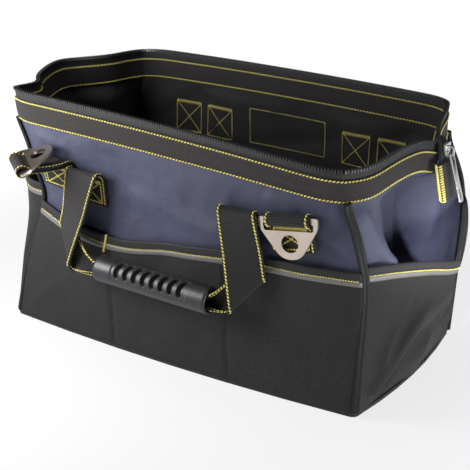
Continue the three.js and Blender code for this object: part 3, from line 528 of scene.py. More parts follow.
def foldsAt(folds, side, along, height, length):
    total = 0.0
    for fold in folds:
        if fold["side"] != side:
            continue
        ax = fold["fromAlong"] * length
        dx, dz = fold["toAlong"] * length - ax, fold["toHeight"] - fold["fromHeight"]
        px, pz = along * length - ax, height - fold["fromHeight"]
        f = clamp((px * dx + pz * dz) / (dx * dx + dz * dz))
        gap = math.hypot(px - f * dx, pz - f * dz)
        total += fold["out"] * math.exp(-((gap / fold["width"]) ** 2))
    return total


def tent(along, tip, firstPower, lastPower):
    return (along / tip) ** firstPower if along < tip else ((1 - along) / (1 - tip)) ** lastPower


def liftAt(side, along, height):
    return columnAt(lifts, "along", side, along) * smooth(height, bagForm["liftFoot"], bagForm["bandBottom"])


def reachShare(spec, t):
    if "share" in spec:
        return columnAt(spec["share"], "along", "share", t)
    if spec["tip"]:
        return tent(t, spec["tip"], spec["firstPower"], spec["lastPower"])
    return (4 * t * (1 - t)) ** 0.7


# 0 at both ends of a side, rising to 1 within the span given
def awayFromEnds(t, span):
    return smooth(t, 0, span) * smooth(1 - t, 0, span)


# The upper corners are drawn in and rounded
def cornerPull(name, distance, height):
    pull = bagForm["cornerRound"] * smooth(height, bagForm["cornerRoundFoot"], bagForm["bandBottom"])
    x, y = cornerSigns[name]
    return Vector((-x, -1.2 * y, 0)) * pull * math.exp(-((distance / bagForm["cornerRoundWidth"]) ** 2))


def wallPoint(side, along, height):
    spec = sides[side]
    t = clamp(along)
    first, last = cornerAt(spec["first"], height), cornerAt(spec["last"], height)
    length = (last - first).length
    folds = foldsAt(wallFolds, side, t, height, length) * awayFromEnds(t, bagForm["foldEnds"])
    quiet = 1 - smooth(height, bagForm["bandBottom"] - bagForm["foldQuiet"], bagForm["bandBottom"])
    reach = sectionAt(side + "Reach", height) * reachShare(spec, t)
    point = first.lerp(last, t) + spec["outward"] * (reach + folds * quiet)
    point += (cornerPull(spec["first"], t * length, height)
              + cornerPull(spec["last"], (1 - t) * length, height))
    point.z = height + liftAt(side, t, height)
    return point


def hemAt(side, along):
    return columnAt(hems, "along", side, along)


def pocketPoint(side, along, height):
    spec = sides[side]
    t = clamp(along)
    if not spec["tip"]:
        rise = clamp(height / hemAt(side, t))
        puff = bagForm["flatPocketPuff"] * math.sin(3 * math.pi * t) ** 2
        off = bagForm["pocketSeat"] + (bagForm["flatPocketEase"] + puff) * rise + bagForm["cloth"]
        return raised(wallPoint, side, t, height, off)
    first, last = cornerAt(spec["first"], height), cornerAt(spec["last"], height)
    shape = tent(t, 0.5, spec["pocketFirst"], spec["pocketLast"])
    calm = awayFromEnds(t, bagForm["pocketFoldEnds"]) * smooth(height, *bagForm["pocketFoldFoot"])
    folds = foldsAt(pocketFolds, side, t, height, (last - first).length) * calm
    reach = columnAt(pocketReach, "height", side, height)
    return first.lerp(last, t) + spec["outward"] * (bagForm["endPocketStandoff"] + reach * shape + folds)


def normalOf(surface, side, along, height):
    da, dh = normalStep["along"], normalStep["height"]
    a = surface(side, along + da, height) - surface(side, along - da, height)
    b = surface(side, along, height + dh) - surface(side, along, height - dh)
    return a.cross(b).normalized()


# A place raised off a surface, and the way it faces
def facingPoint(surface, side, along, height, off):
    normal = normalOf(surface, side, along, height)
    return surface(side, along, height) + normal * off, normal


def raised(surface, side, along, height, off):
    return facingPoint(surface, side, along, height, off)[0]


def insetAlong(side, u, height):
    spec = sides[side]
    edge = bagForm["tuck"] / (cornerAt(spec["last"], height) - cornerAt(spec["first"], height)).length
    return mix(edge, 1 - edge, u)


# Even spacing round an end pocket, whose reach is steep near its corners
def panelAlong(side, u, height):
    even, spec = insetAlong(side, u, height), sides[side]
    if not spec["tip"]:
        return even
    if even < 0.5:
        return 0.5 * (2 * even) ** (1 / spec["pocketFirst"])
    return 1 - 0.5 * (2 * (1 - even)) ** (1 / spec["pocketLast"])


# Mouth of the bag as two runs from tip to tip
mouthRuns = {
    "front": [("left", sides["left"]["tip"] + bagForm["tipGap"], 1, 0.15), ("front", 0, 1, 0.65),
              ("right", 0, sides["right"]["tip"] - bagForm["tipGap"], 0.2)],
    "back": [("right", sides["right"]["tip"] + bagForm["tipGap"], 1, 0.18), ("back", 0, 1, 0.58),
             ("left", 0, sides["left"]["tip"] - bagForm["tipGap"], 0.24)],
}


def runPoint(run, u, height):
    rest = clamp(u)
    for i, (side, first, last, share) in enumerate(mouthRuns[run]):
        if rest <= share or i == 2:
            return wallPoint(side, mix(first, last, rest / share), height)
        rest -= share


def mouthPoint(run, u, height):
    ease = bagForm["mouthEase"] * smooth(min(u, 1 - u), 0, bagForm["mouthEnds"])
    return (runPoint(run, u, height) * 2
            + runPoint(run, u - ease, height) + runPoint(run, u + ease, height)) * 0.25


def alongAt(side, x, height):
    first, last = [sectionAt(sides[side][end] + "X", height) for end in ("first", "last")]
    return (x - first) / (last - first)


# Where a fitting stands on a wall: its foot, the level way out and the way along
def wallFrame(side, x, height):
    along = alongAt(side, x, height)
    foot = wallPoint(side, along, height)
    foot.z = height
    out = normalOf(wallPoint, side, along, height)
    out.z = 0
    out.normalize()
    return foot, out, Vector((-out.y, out.x, 0))


# Every piece goes through here: its mesh, finishes, body and replaced nodes
def finishPiece(name, bm, finishNames, nodes, body="bag", flat=False):
    mesh = bpy.data.meshes.new(name)
    bm.to_mesh(mesh)
    bm.free()
    if not flat:
        mesh.shade_smooth()
    for finishName in finishNames:
        mesh.materials.append(finishes[finishName])
    piece = putIn(bpy.data.objects.new(name, mesh))
    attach(piece, body)
    if nodes:
        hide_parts(*nodes)
    return piece


# A grid of cells with its UVs in real metres, each corner put in place on a surface
def laidGrid(cells, flatPlace, place):
    bm = bmesh.new()
    uvs = bm.loops.layers.uv.new("cloth")
    bmesh.ops.create_grid(bm, x_segments=cells[0], y_segments=cells[1], size=0.5)
    for face in bm.faces:
        for corner in face.loops:
            u, v = flatPlace(corner.vert.co.x + 0.5, corner.vert.co.y + 0.5)
            corner[uvs].uv = (u * mm, v * mm)
    for vert in bm.verts:
        vert.co = place(vert.co.x + 0.5, vert.co.y + 0.5) * mm
    return bm


# A sheet of cloth laid on a surface and thickened inwards
def clothSheet(name, cells, flatSize, place, thickness, finishNames, node):
    bm = laidGrid(cells, lambda u, v: (u * flatSize[0], v * flatSize[1]), place)
    piece = finishPiece(name, bm, finishNames, [node], "bag")
    thick = piece.modifiers.new("thickness", "SOLIDIFY")
    thick.thickness = thickness * mm
    thick.offset = -1
    if len(finishNames) > 1:
        thick.material_offset = 1


# Outline of a flat strip with rounded edges, as shares of its width and thickness
def stripSection(width, thickness, cells=6):
    half = thickness / width / 2
    upper = [(mix(-0.5 + half, 0.5 - half, i / cells), 0.5) for i in range(cells + 1)]
    edge = [(0.5 - half + half * math.cos(a), 0.5 * math.sin(a)) for a in (0.9, 0.35, -0.35, -0.9)]
    return upper + edge + [(-a, -b) for a, b in upper] + [(-a, -b) for a, b in edge]


# A closed strip of a length, width and thickness: its section carried along, joined round and capped
def wrapStrip(name, cellsAlong, section, sizes, place, finishName, node):
    count = len(section)
    girth = [0.0]
    for i in range(count):
        a, b = section[i], section[(i + 1) % count]
        girth.append(girth[-1] + math.hypot((a[0] - b[0]) * sizes[1], (a[1] - b[1]) * sizes[2]))
    bm = laidGrid((cellsAlong, count), lambda u, v: (u * sizes[0], girth[round(v * count)]),
                  lambda u, v: place(u, *section[round(v * count) % count]))
    bmesh.ops.remove_doubles(bm, verts=bm.verts[:], dist=1e-6)
    bmesh.ops.holes_fill(bm, edges=[e for e in bm.edges if e.is_boundary], sides=0)
    bmesh.ops.recalc_face_normals(bm, faces=bm.faces[:])
    finishPiece(name, bm, [finishName], [node])


def flatStrip(name, cells, sizes, place, finishName, node):
    wrapStrip(name, cells[0], stripSection(*sizes[1:], cells[1]), sizes, place, finishName, node)


# Thread: short slanted stitches along a line, each a stretched ball
threadLook = {"pitch": 3.4, "length": 3.5, "width": 1.7, "height": 1.3, "slant": 24.0}
boxThread = {**threadLook, "pitch": 2.7, "length": 2.9, "width": 0.95, "height": 0.7}
hemThreadLook = {**threadLook, "pitch": 2.6, "length": 2.8, "width": 1.0, "height": 0.8}
boxLook = {
    "barPitch": 1.5, "barLean": 0.7, "barReach": 2.4, "barLength": 5.4,
    "tacks": 7, "tackFrom": 0.25, "tackStep": 0.09, "tackLean": 0.8, "tackReach": 1.0, "tackLength": 2.6,
}


def axesOf(x, y, z):
    return Matrix((x, y, z)).transposed().to_4x4()


def runLengths(points):
    total = [0.0]
    for a, b in zip(points, points[1:]):
        total.append(total[-1] + (b - a).length)
    return total


def sewLine(place, look=threadLook, samples=140):
    spots = [place(i / samples) for i in range(samples + 1)]
    total = runLengths([point for point, _ in spots])
    count = max(1, round(total[-1] / look["pitch"]))
    stitches = []
    i = 0
    for k in range(count):
        goal = total[-1] * (k + 0.5) / count
        while i < samples - 1 and total[i + 1] < goal:
            i += 1
        f = (goal - total[i]) / max(total[i + 1] - total[i], 1e-9)
        point = spots[i][0].lerp(spots[i + 1][0], f)
        out = spots[i][1].lerp(spots[i + 1][1], f).normalized()
        forward = (spots[i + 1][0] - spots[i][0]).normalized()
        stitches.append((point, forward, out, look["slant"], look["length"]))
    return stitches


def sewnPiece(name, stitches, look=threadLook):
    bm = bmesh.new()
    for point, forward, out, slant, length in stitches:
        side = out.cross(forward).normalized()
        out = forward.cross(side)
        turned = Matrix.Rotation(math.radians(slant), 3, out)
        size = Matrix.Diagonal((length * mm, look["width"] * mm, look["height"] * mm, 1))
        place = Matrix.Translation(point * mm) @ axesOf(turned @ forward, turned @ side, out) @ size
        bmesh.ops.create_icosphere(bm, subdivisions=1, radius=0.5, matrix=place)
    finishPiece(name, bm, ["yellowThread"], [])


# A thread's place on one face of a strip, and the way that face looks
def onFace(strip, s, a, b, rise):
    return strip(s, a, b * rise), (strip(s, a, b) - strip(s, a, 0)).normalized()


def straightStitches(place, a, b, look):
    return sewLine(lambda f: place(mix(a[0], b[0], f), mix(a[1], b[1], f)), look, 24)


# A square of stitches with its two diagonals, a dense bar along the top and a few tacks at the foot
def crossBox(place, width, height, thread=boxThread):
    look = boxLook
    w, h = width / 2, height / 2
    corners = [(-w, -h), (w, -h), (w, h), (-w, h)]
    lines = [*zip(corners, corners[1:] + corners[:1]), ((-w, -h), (w, h)), ((-w, h), (w, -h))]
    stitches = []
    for a, b in lines:
        stitches += straightStitches(place, a, b, thread)
    single = {**thread, "pitch": 9, "slant": 0}
    lean, reach = look["barLean"], look["barReach"]
    count = int(width / look["barPitch"])
    for i in range(count):
        x = mix(-w, w, (i + 0.5) / count)
        bar = {**single, "length": look["barLength"]}
        stitches += straightStitches(place, (x - lean, h - reach), (x + lean, h + reach), bar)
    lean, reach = look["tackLean"], look["tackReach"]
    for i in range(look["tacks"]):
        x = w * (look["tackFrom"] + look["tackStep"] * i)
        tack = {**single, "length": look["tackLength"]}
        stitches += straightStitches(place, (x, -h - reach), (x + lean, -h + reach), tack)
    return stitches


# Walls, pockets and hems of the four sides
sideNames = {"front": "front", "right": "right_end", "back": "back", "left": "left_end"}
wallLook = {
    "cells": (110, 64), "ripple": 1.1, "rippleSize": 34.0, "rippleSeed": 3, "flatHeight": 215,
    "flatLength": {"front": 395, "right": 235, "back": 395, "left": 245},
    "ends": 0.05, "flatFoot": (140, 160), "endFoot": (85, 115), "bandEase": (203, 212),
}
pocketLook = {
    "cells": (170, 56), "ripple": 0.8, "rippleSize": 42.0, "rippleSeed": 9, "flatHeight": 140,
    "seamX": (-67.0, 67.0), "seamDepth": 1.5, "seamWidth": 2.2, "seamFoot": 0.05, "underBinding": 2.0,
    "ends": 0.05, "footEase": 0.12, "topEase": 0.2,
}
hemLook = {
    "bindingCells": (150, 4), "bindingThickness": 3.2, "bindingBack": 0.4,
    "tapeCells": (150, 3), "tapeThickness": 0.6, "tapeUnder": 0.6, "tapeProud": 0.75,
}
wallCreases = rowsOf(foldColumns, [
    ("front", 0.1, 204, 0.3, 160, 9, 2.1), ("front", 0.22, 176, 0.34, 150, 7, -2.2),
    ("front", 0.36, 168, 0.62, 150, 8, 2.0), ("front", 0.55, 176, 0.76, 160, 9, -1.6),
    ("front", 0.8, 204, 0.97, 168, 6, 2.0), ("front", 0.86, 180, 0.97, 160, 6, -1.9),
    ("right", 0.16, 150, 0.25, 106, 6, 6), ("right", 0.08, 188, 0.1, 176, 9, -4),
    ("right", 0.5, 196, 0.5, 110, 9, -6), ("right", 0.5, 186, 0.53, 104, 34, -34),
    ("right", 0.82, 206, 0.74, 130, 8, 3), ("left", 0.2, 206, 0.26, 160, 7, 1.8),
    ("left", 0.42, 206, 0.4, 168, 6, 1.6), ("left", 0.6, 206, 0.58, 164, 6, -1.6),
    ("left", 0.85, 206, 0.78, 160, 7, 1.8), ("back", 0.12, 204, 0.26, 164, 9, 1.5),
    ("back", 0.38, 176, 0.6, 156, 9, 1.4), ("back", 0.8, 200, 0.92, 166, 8, 1.4),
])
pocketCreases = rowsOf(foldColumns, [
    ("right", 0.1, 20, 0.36, 90, 7, 5.0), ("right", 0.18, 10, 0.38, 56, 7, -4.0),
    ("right", 0.14, 50, 0.28, 122, 7, 4.5), ("right", 0.2, 84, 0.3, 128, 5, -3.0),
    ("right", 0.86, 18, 0.7, 80, 7, 2.0), ("right", 0.66, 40, 0.8, 118, 7, -1.4),
    ("left", 0.12, 20, 0.5, 100, 6, 1.6), ("left", 0.88, 20, 0.56, 104, 6, 1.6),
    ("left", 0.4, 60, 0.48, 120, 7, -1.4), ("front", 0.04, 14, 0.2, 92, 9, 1.4),
    ("front", 0.12, 60, 0.28, 120, 9, -1.2), ("front", 0.46, 20, 0.6, 80, 14, 1.0),
    ("front", 0.78, 30, 0.9, 110, 12, 1.0), ("back", 0.1, 30, 0.26, 110, 12, 1.2),
    ("back", 0.6, 30, 0.7, 110, 14, 1.0),
])


def ripple(point, size, seed):
    return noise.noise(Vector((point.x / size, point.y / size, point.z / size + seed)))


def sideStrip(side, heights, u, v):
    low, high = heights(panelAlong(side, u, 100))
    height = mix(low, high, v)
    return panelAlong(side, u, height), height


def makeSide(side):
    name, form, isEnd = sideNames[side], bagForm, bool(sides[side]["tip"])
    length = wallLook["flatLength"][side]

    def lowest(point):
        point.z = max(point.z, form["wallFoot"])
        return point

    def creased(creases, look, point, along, height):
        folds = foldsAt(creases, side, along, height, length)
        return folds + look["ripple"] * ripple(point, look["rippleSize"], look["rippleSeed"])

    def wall(u, v):
        look = wallLook
        height = mix(form["wallFoot"], form["wallTop"], v)
        along = insetAlong(side, u, height)
        point = wallPoint(side, along, height)
        foot = look["endFoot"] if isEnd else look["flatFoot"]
        calm = awayFromEnds(along, look["ends"]) * smooth(height, *foot)
        calm *= 1 - smooth(height, *look["bandEase"])
        away = sides[side]["outward"] if isEnd else normalOf(wallPoint, side, along, height)
        return lowest(point + away * creased(wallCreases, look, point, along, height) * calm)

    clothSheet(name + "_wall_cloth", wallLook["cells"], (length, wallLook["flatHeight"]), wall, form["cloth"],
               ["navyCloth", "liningCloth"], name + "_wall")

    def pocket(u, v):
        look = pocketLook

        def heights(q):
            return form["wallFoot"], hemAt(side, q) - form["bindingHeight"] + look["underBinding"]
        along, height = sideStrip(side, heights, u, v)
        point = pocketPoint(side, along, height)
        calm = awayFromEnds(along, look["ends"])
        calm *= smooth(v, 0, look["footEase"]) * smooth(1 - v, 0, look["topEase"])
        off = creased(pocketCreases, look, point, along, height) * calm
        if not isEnd:
            for x in look["seamX"]:
                dent = look["seamDepth"] * math.exp(-(((point.x - x) / look["seamWidth"]) ** 2))
                off -= dent * smooth(v, 0, look["seamFoot"])
        return lowest(point + normalOf(pocketPoint, side, along, height) * off)

    clothSheet(name + "_pocket_cloth", pocketLook["cells"], (length, pocketLook["flatHeight"]), pocket,
               form["cloth"], ["blackCloth", "blackCloth"], name + "_pocket")

    def hemStrip(drop, height, u, v):
        return sideStrip(side, lambda q: (hemAt(side, q) - drop - height, hemAt(side, q) - drop), u, v)

    def binding(u, a, b):
        along, height = hemStrip(0, form["bindingHeight"], u, a + 0.5)
        off = mix(-form["cloth"] - hemLook["bindingBack"], form["bindingProud"], b + 0.5)
        return raised(pocketPoint, side, along, height, off)

    bindingSize = (length, form["bindingHeight"], hemLook["bindingThickness"])
    flatStrip(name + "_hem_binding", hemLook["bindingCells"], bindingSize, binding, "hemBinding",
              name + "_binding")

    def reflector(u, v):
        drop = form["bindingHeight"] - hemLook["tapeUnder"]
        along, height = hemStrip(drop, form["reflectorHeight"], u, v)
        return raised(pocketPoint, side, along, height, hemLook["tapeProud"])

    clothSheet(name + "_reflective_tape", hemLook["tapeCells"], (length, form["reflectorHeight"]), reflector,
               hemLook["tapeThickness"], ["reflectiveTape"], name + "_reflector")


for side in sideNames:
    makeSide(side)
print("walls, pockets and hems made")


# Corded corner seams: the cord and the turned edge beside it make two ridges
cordLook = {
    "ridge": 2.2, "spread": 2.0, "arc": 128, "cells": 80, "round": 8, "length": 215,
    "foot": 4.6, "underBand": 2.0, "proud": (1.6, 0.9), "proudEase": (140, 160),
}
cords = rowsOf("name corner side", [
    ("front_left", "frontLeft", "left"), ("front_right", "frontRight", "front"),
    ("back_right", "backRight", "right"), ("back_left", "backLeft", "back"),
])


def makeCord(name, corner, side):
    look = cordLook

    def centre(u):
        height = mix(look["foot"], bagForm["bandBottom"] + look["underBand"], u)
        point = cornerAt(corner, height)
        off = mix(*look["proud"], smooth(height, *look["proudEase"]))
        point += (point - Vector((0, 0, height))).normalized() * off + cornerPull(corner, 0, height)
        point.z += liftAt(side, 1, height)
        return point

    def place(u, a, b):
        forward = (centre(min(u + 0.01, 1)) - centre(max(u - 0.01, 0))).normalized()
        outward = Vector((*cornerSigns[corner], 0)).normalized()
        across = forward.cross(outward).normalized()
        return centre(u) + across * a + across.cross(forward) * b

    arc = [math.radians(mix(-look["arc"], look["arc"], i / look["round"])) for i in range(look["round"] + 1)]
    ridge = [(look["spread"] + look["ridge"] * math.cos(t), look["ridge"] * math.sin(t)) for t in arc]
    section = ridge + [(-a, -b) for a, b in ridge]
    wrapStrip("corner_cord_" + name + "_piping", look["cells"], section, (look["length"], 1, 1), place,
              "pipingCord", "corner_cord_" + name)


for cord in cords:
    makeCord(**cord)
print("corner cords made")


# Webbing band and zip tape round the mouth, with the zip's teeth along the top
mouthLook = {
    "length": 640.0, "bandCells": (200, 6), "bandSize": (23, 4.6), "tapeCells": (200, 3), "tapeSize": (6, 1.6),
    "tapeUnder": 4.0, "tapeGap": 0.6, "toothSize": (1.6, 4.0, 2.6), "toothRise": 0.6, "toothInset": 0.8,
}
toothRow = {"pitch": 2.8, "slant": 0, "length": 1}


def makeMouth(run):
    form, look = bagForm, mouthLook

    def band(u, a, b):
        height = mix(form["bandBottom"], form["bandTop"], a + 0.5)
        off = mix(-form["cloth"] - form["bandProud"], form["bandProud"], b + 0.5)
        return raised(mouthPoint, run, u, height, off)

    flatStrip("rim_band_" + run + "_webbing", look["bandCells"], (look["length"], *look["bandSize"]), band,
              "bandWebbing", "rim_band_" + run)

    def tape(u, a, b):
        height = mix(form["bandTop"] - look["tapeUnder"], form["zipTop"] - look["tapeGap"], a + 0.5)
        return raised(mouthPoint, run, u, height, b * look["tapeSize"][1] - form["cloth"] / 2)

    flatStrip("zip_tape_" + run + "_cloth", look["tapeCells"], (look["length"], *look["tapeSize"]), tape,
              "hemBinding", "zip_tape_" + run)

    def toothLine(f):
        return raised(mouthPoint, run, f, form["zipTop"] + look["toothRise"], -look["toothInset"]), up

    bm = bmesh.new()
    size = Matrix.Diagonal((*[s * mm for s in look["toothSize"]], 1))
    for point, forward, out, _, _ in sewLine(toothLine, toothRow, 220):
        basis = axesOf(forward, out.cross(forward).normalized(), out)
        bmesh.ops.create_cube(bm, size=1, matrix=Matrix.Translation(point * mm) @ basis @ size)
    finishPiece("zip_teeth_" + run, bm, ["zipTeeth"], [], flat=True)


for mouthRun in mouthRuns:
    makeMouth(mouthRun)
print("mouth made")


# Handles: each half turns over above its sewn end, hangs, folds at a slant and curls into the grip
strapColumns = "x out z yaw"
straightHalf = rowsOf(strapColumns, [
    (86, 3, 150, 0), (86, 3, 176, 0), (86.4, 4.2, 183.5, 0), (87.2, 9, 187, 0), (88.5, 13.6, 184, 2),
    (91, 15.2, 170, 6), (94.5, 16, 146, 12), (98.6, 16.5, 110, 17),
])
saggingHalf = rowsOf(strapColumns, [
    (87, 2.4, 150, 0), (87, 2.4, 176, 0), (87.2, 4.2, 182, 0), (87.8, 9.5, 185.5, 0), (88.8, 14, 182, 3),
    (92.5, 16.5, 166, 9), (99.5, 19, 140, 15), (108, 22, 110, 20),
])
strapRoutes = {"straight": straightHalf, "sagging": saggingHalf}
handleLook = {
    "webbing": 2.2, "width": 39.0, "length": 480.0, "cells": (260, 10), "trough": 8.0, "edgeStitch": 2.2,
    "foldRadius": {"straight": 2.4, "sagging": 4.0}, "threadRise": 1.2, "boxSize": (28, 22), "boxCentre": 15,
    "foldShare": 2.2, "curlFrom": 12.0, "curlTo": 4.0, "threadFrom": 3.0, "threadStop": 1.0,
}
gripLook = {
    "length": 130.0, "radius": 13.0, "bore": 10.4, "height": 95.0, "out": 21.0, "facing": 47.0,
    "steps": 96, "cells": 190, "rimLength": 2.4, "slots": 8, "pitch": 10.4, "slotWidth": 4.6, "slotReach": 9.4,
    "slotDepth": 3.0, "slotBend": 0.03, "slotMiddle": 20.0, "slotLean": 0.16, "slotRound": 2.0,
    "slotEdge": (0.5, 0.35), "slotFloor": 0.6, "panelEdge": 0.4,
    "panelLength": 88.0, "panelReach": 12.4, "panelDepth": 0.6, "panelRound": 3.0,
}


def gripLine(side):
    half = gripLook["length"] / 2
    first, last = wallFrame(side, -half, gripLook["height"])[0], wallFrame(side, half, gripLook["height"])[0]
    axis = (last - first).normalized()
    out = axis.cross(up) * (1 if side == "front" else -1)
    return first.lerp(last, 0.5) + out * gripLook["out"], axis, out


# Half the angle of an arc whose chord is the given share of its length
def curlAngle(share):
    low, high = 1e-3, 3.0
    for _ in range(40):
        middle = (low + high) / 2
        low, high = (middle, high) if math.sin(middle) / middle > share else (low, middle)
    return low


# One half of a handle, on the side that hand points to: places by length, share across and share through
def strapHalf(side, hand, route):
    look, rows, radius = handleLook, strapRoutes[route], handleLook["foldRadius"][route]
    facing = 1 if side == "front" else -1
    middle, axis, gripOut = gripLine(side)
    table = [{**row, "station": i} for i, row in enumerate(rows)]
    line = []
    steps = 120
    for i in range(steps + 1):
        station = i / steps * (len(rows) - 1)
        x, out, z, yaw = [columnAt(table, "station", name, station) for name in strapColumns.split()]
        foot, outward, run = wallFrame(side, hand * x, z)
        yaw = math.radians(yaw)
        line.append((foot + outward * out, run * (facing * hand * math.cos(yaw)) - outward * math.sin(yaw)))
    total = runLengths([point for point, _ in line])
    foldAt = total[-1]

    @lru_cache(maxsize=4000)
    def along(s):
        i = min(max(bisect_right(total, s) - 1, 0), len(total) - 2)
        f = (s - total[i]) / (total[i + 1] - total[i])
        j, k = max(i - 1, 0), min(i + 2, len(total) - 1)
        forward = (line[k][0] - line[j][0]).normalized()
        point = line[i][0].lerp(line[i + 1][0], f)
        across = line[i][1].lerp(line[i + 1][1], clamp(f))
        across = (across - forward * across.dot(forward)).normalized()
        return point, forward, across, forward.cross(across) * (hand * facing)

    centre, down, outer, _ = along(foldAt)
    inward = axis * -hand
    w = Vector((inward.dot(down), inward.dot(outer))).normalized()
    foldNormal = Vector((1 - w.x, -w.y)).normalized()
    foldLine = Vector((-foldNormal.y, foldNormal.x))
    foldNormal3 = down * foldNormal.x + outer * foldNormal.y
    start = hand * (centre - middle).dot(axis) + look["foldShare"] * radius
    curl = curlAngle(look["trough"] / look["width"])
    bend = look["width"] / (2 * curl)

    def hanging(s, a, b):
        x, y = s - foldAt, a * look["width"]
        m, q = x * foldNormal.x + y * foldNormal.y, x * foldLine.x + y * foldLine.y
        turn = clamp(m / radius, 0, math.pi)
        h = m if m < 0 else radius * math.sin(turn) - max(m - math.pi * radius, 0)
        spot = foldNormal * h + foldLine * q
        point, _, across, through = along(foldAt + spot.x)
        normal = through * math.cos(turn) + foldNormal3 * math.sin(turn)
        sunk = through * (radius * (1 - math.cos(turn)))
        return point + across * spot.y - sunk + normal * (b * look["webbing"])

    def inGrip(s, a, b):
        angle = a * 2 * curl
        lean = up * math.sin(angle) - gripOut * math.cos(angle)
        offset = lean * (bend + b * look["webbing"]) + gripOut * (bend * (1 + math.cos(curl)) / 2)
        return middle + axis * (hand * max(start - (s - foldAt), 0)) + offset

    def place(s, a, b):
        inside = foldAt + start - gripLook["length"] / 2
        share = smooth(s, foldAt + look["curlFrom"], inside + look["curlTo"])
        if share <= 0:
            return hanging(s, a, b)
        return hanging(s, a, b).lerp(inGrip(s, a, b), share)

    return place, foldAt + start


def makeStrap(side, leftRoute, rightRoute):
    look = handleLook
    halves = [strapHalf(side, -1, leftRoute), strapHalf(side, 1, rightRoute)]

    def place(u, a, b):
        half, length = halves[0] if u < 0.5 else halves[1]
        return half((u if u < 0.5 else 1 - u) * 2 * length, a, b)

    flatStrip(side + "_handle_webbing", look["cells"], (look["length"], look["width"], look["webbing"]), place,
              "strapWebbing", side + "_handle_strap")
    edge = 0.5 - look["edgeStitch"] / look["width"]
    stitches = []
    for half, length in halves:
        for a in (-edge, edge):
            for b in (-0.5, 0.5):
                def line(f):
                    last = length - gripLook["length"] / 2 - look["threadStop"]
                    s = mix(look["threadFrom"], last, f)
                    return onFace(half, s, a, b, look["threadRise"])
                stitches += sewLine(line, threadLook, 220)

        def sewnEnd(x, y):
            return onFace(half, look["boxCentre"] + y, x / look["width"], -0.5, look["threadRise"])
        stitches += crossBox(sewnEnd, *look["boxSize"])
    sewnPiece(side + "_handle_thread", stitches)


# Depth of the grip's sunk panel and its slanted, bowed slots at a place round and along it
def gripSink(look, arc, y):
    panel, soft = look["panelRound"], look["panelEdge"]
    px = max(abs(arc) - look["panelReach"] + panel, 0)
    py = max(abs(y) - look["panelLength"] / 2 + panel, 0)
    sink = look["panelDepth"] * (1 - smooth(math.hypot(px, py), panel - soft, panel + soft))
    half, (below, above) = look["slotWidth"] / 2, look["slotEdge"]
    for i in range(look["slots"]):
        line = (i - (look["slots"] - 1) / 2) * look["pitch"]
        line += look["slotLean"] * arc + look["slotBend"] * (arc * arc - look["slotMiddle"])
        gap = math.hypot(y - line, max(abs(arc) - look["slotReach"] + look["slotRound"], 0))
        sink += look["slotDepth"] * (1 - smooth(gap, half - below, half + above))
    return sink


def makeGrip(side):
    look = gripLook
    half, bore, radius = look["length"] / 2, look["bore"], look["radius"]
    rim = [(bore, half - 7), (bore, half - 0.8), (bore + 0.6, half), (radius - 1.2, half),
           (radius - 0.35, half - 0.8), (radius, half - look["rimLength"])]
    straight = half - look["rimLength"]
    body = [(radius, mix(straight, -straight, i / look["cells"])) for i in range(1, look["cells"])]
    profile = rim + body + [(r, -y) for r, y in reversed(rim)]
    bm = bmesh.new()
    verts = [bm.verts.new((r, y, 0)) for r, y in profile]
    edges = [bm.edges.new(pair) for pair in zip(verts, verts[1:])]
    bmesh.ops.spin(bm, geom=verts + edges, cent=(0, 0, 0), axis=(0, 1, 0), angle=2 * math.pi,
                   steps=look["steps"], use_merge=True)
    bmesh.ops.remove_doubles(bm, verts=bm.verts[:], dist=1e-4)
    for vert in bm.verts:
        r = math.hypot(vert.co.x, vert.co.z)
        if r < radius - 0.01:
            continue
        sink = gripSink(look, math.atan2(vert.co.z, vert.co.x) * radius, vert.co.y)
        vert.co.x *= (r - sink) / r
        vert.co.z *= (r - sink) / r
    bmesh.ops.recalc_face_normals(bm, faces=bm.faces[:])
    # Faces deep in the slots take slotShade, a painted shade for the dark inside them
    for face in bm.faces:
        middle = face.calc_center_median()
        deep = radius - math.hypot(middle.x, middle.z) > look["slotDepth"] * look["slotFloor"]
        face.material_index = 1 if deep and abs(middle.y) < look["panelLength"] / 2 else 0
    spot, axis, out = gripLine(side)
    facing = math.radians(look["facing"])
    slotAxis = out * math.cos(facing) + up * math.sin(facing)
    place = Matrix.Translation(spot) @ axesOf(slotAxis, axis, slotAxis.cross(axis))
    bmesh.ops.transform(bm, verts=bm.verts[:], matrix=Matrix.Scale(mm, 4) @ place)
    finishPiece(side + "_grip_moulding", bm, ["gripPlastic", "slotShade"], [side + "_grip"])


makeStrap("front", "sagging", "straight")
makeStrap("back", "straight", "straight")
makeGrip("front")
makeGrip("back")
print("handles made")


# Webbing loops and their rings
loopLook = {
    "width": 43.0, "webbing": 2.2, "cells": (90, 8), "outer": 6.0, "inner": 3.5, "standoff": 0.9, "tail": 31.0,
    "edgeStitch": 0.445, "threadRise": 1.24, "boxSize": (32, 20), "boxCentre": 13,
    "turnEase": (6, 24), "slackEase": (-14, -4.5), "tailCells": 8,
}
loops = rowsOf("name side x z arm turn lean ringAngle", [
    ("front_left", "front", -127.5, 188, 36, 34, 0, 247), ("front_right", "front", 136, 187, 0, 0, 8, 2),
    ("back_left", "back", -136, 185, 0, 0, 0, 2), ("back_right", "back", 136, 185, 0, 0, 0, 2),
])
ringLook = {
    "thickness": 2.6, "bar": 2.8, "halfWidth": 29.0, "drop": 36.0, "hole": 8.2, "holeDrop": 21.5, "edge": 0.55,
}


# The loop's way out, which may turn aside: a place along it, and the ways ahead and across there
def bentOut(frameOut, turn, out, aside):
    point = Vector((0, 0, 0))
    steps = 24

    def heading(o):
        return Matrix.Rotation(-math.radians(turn) * smooth(o, *loopLook["turnEase"]), 3, "Z") @ frameOut
    for i in range(steps):
        point += heading((i + 0.5) / steps * out) * (out / steps)
    ahead = heading(out)
    run = Vector((-ahead.y, ahead.x, 0))
    return point + run * aside, ahead, run


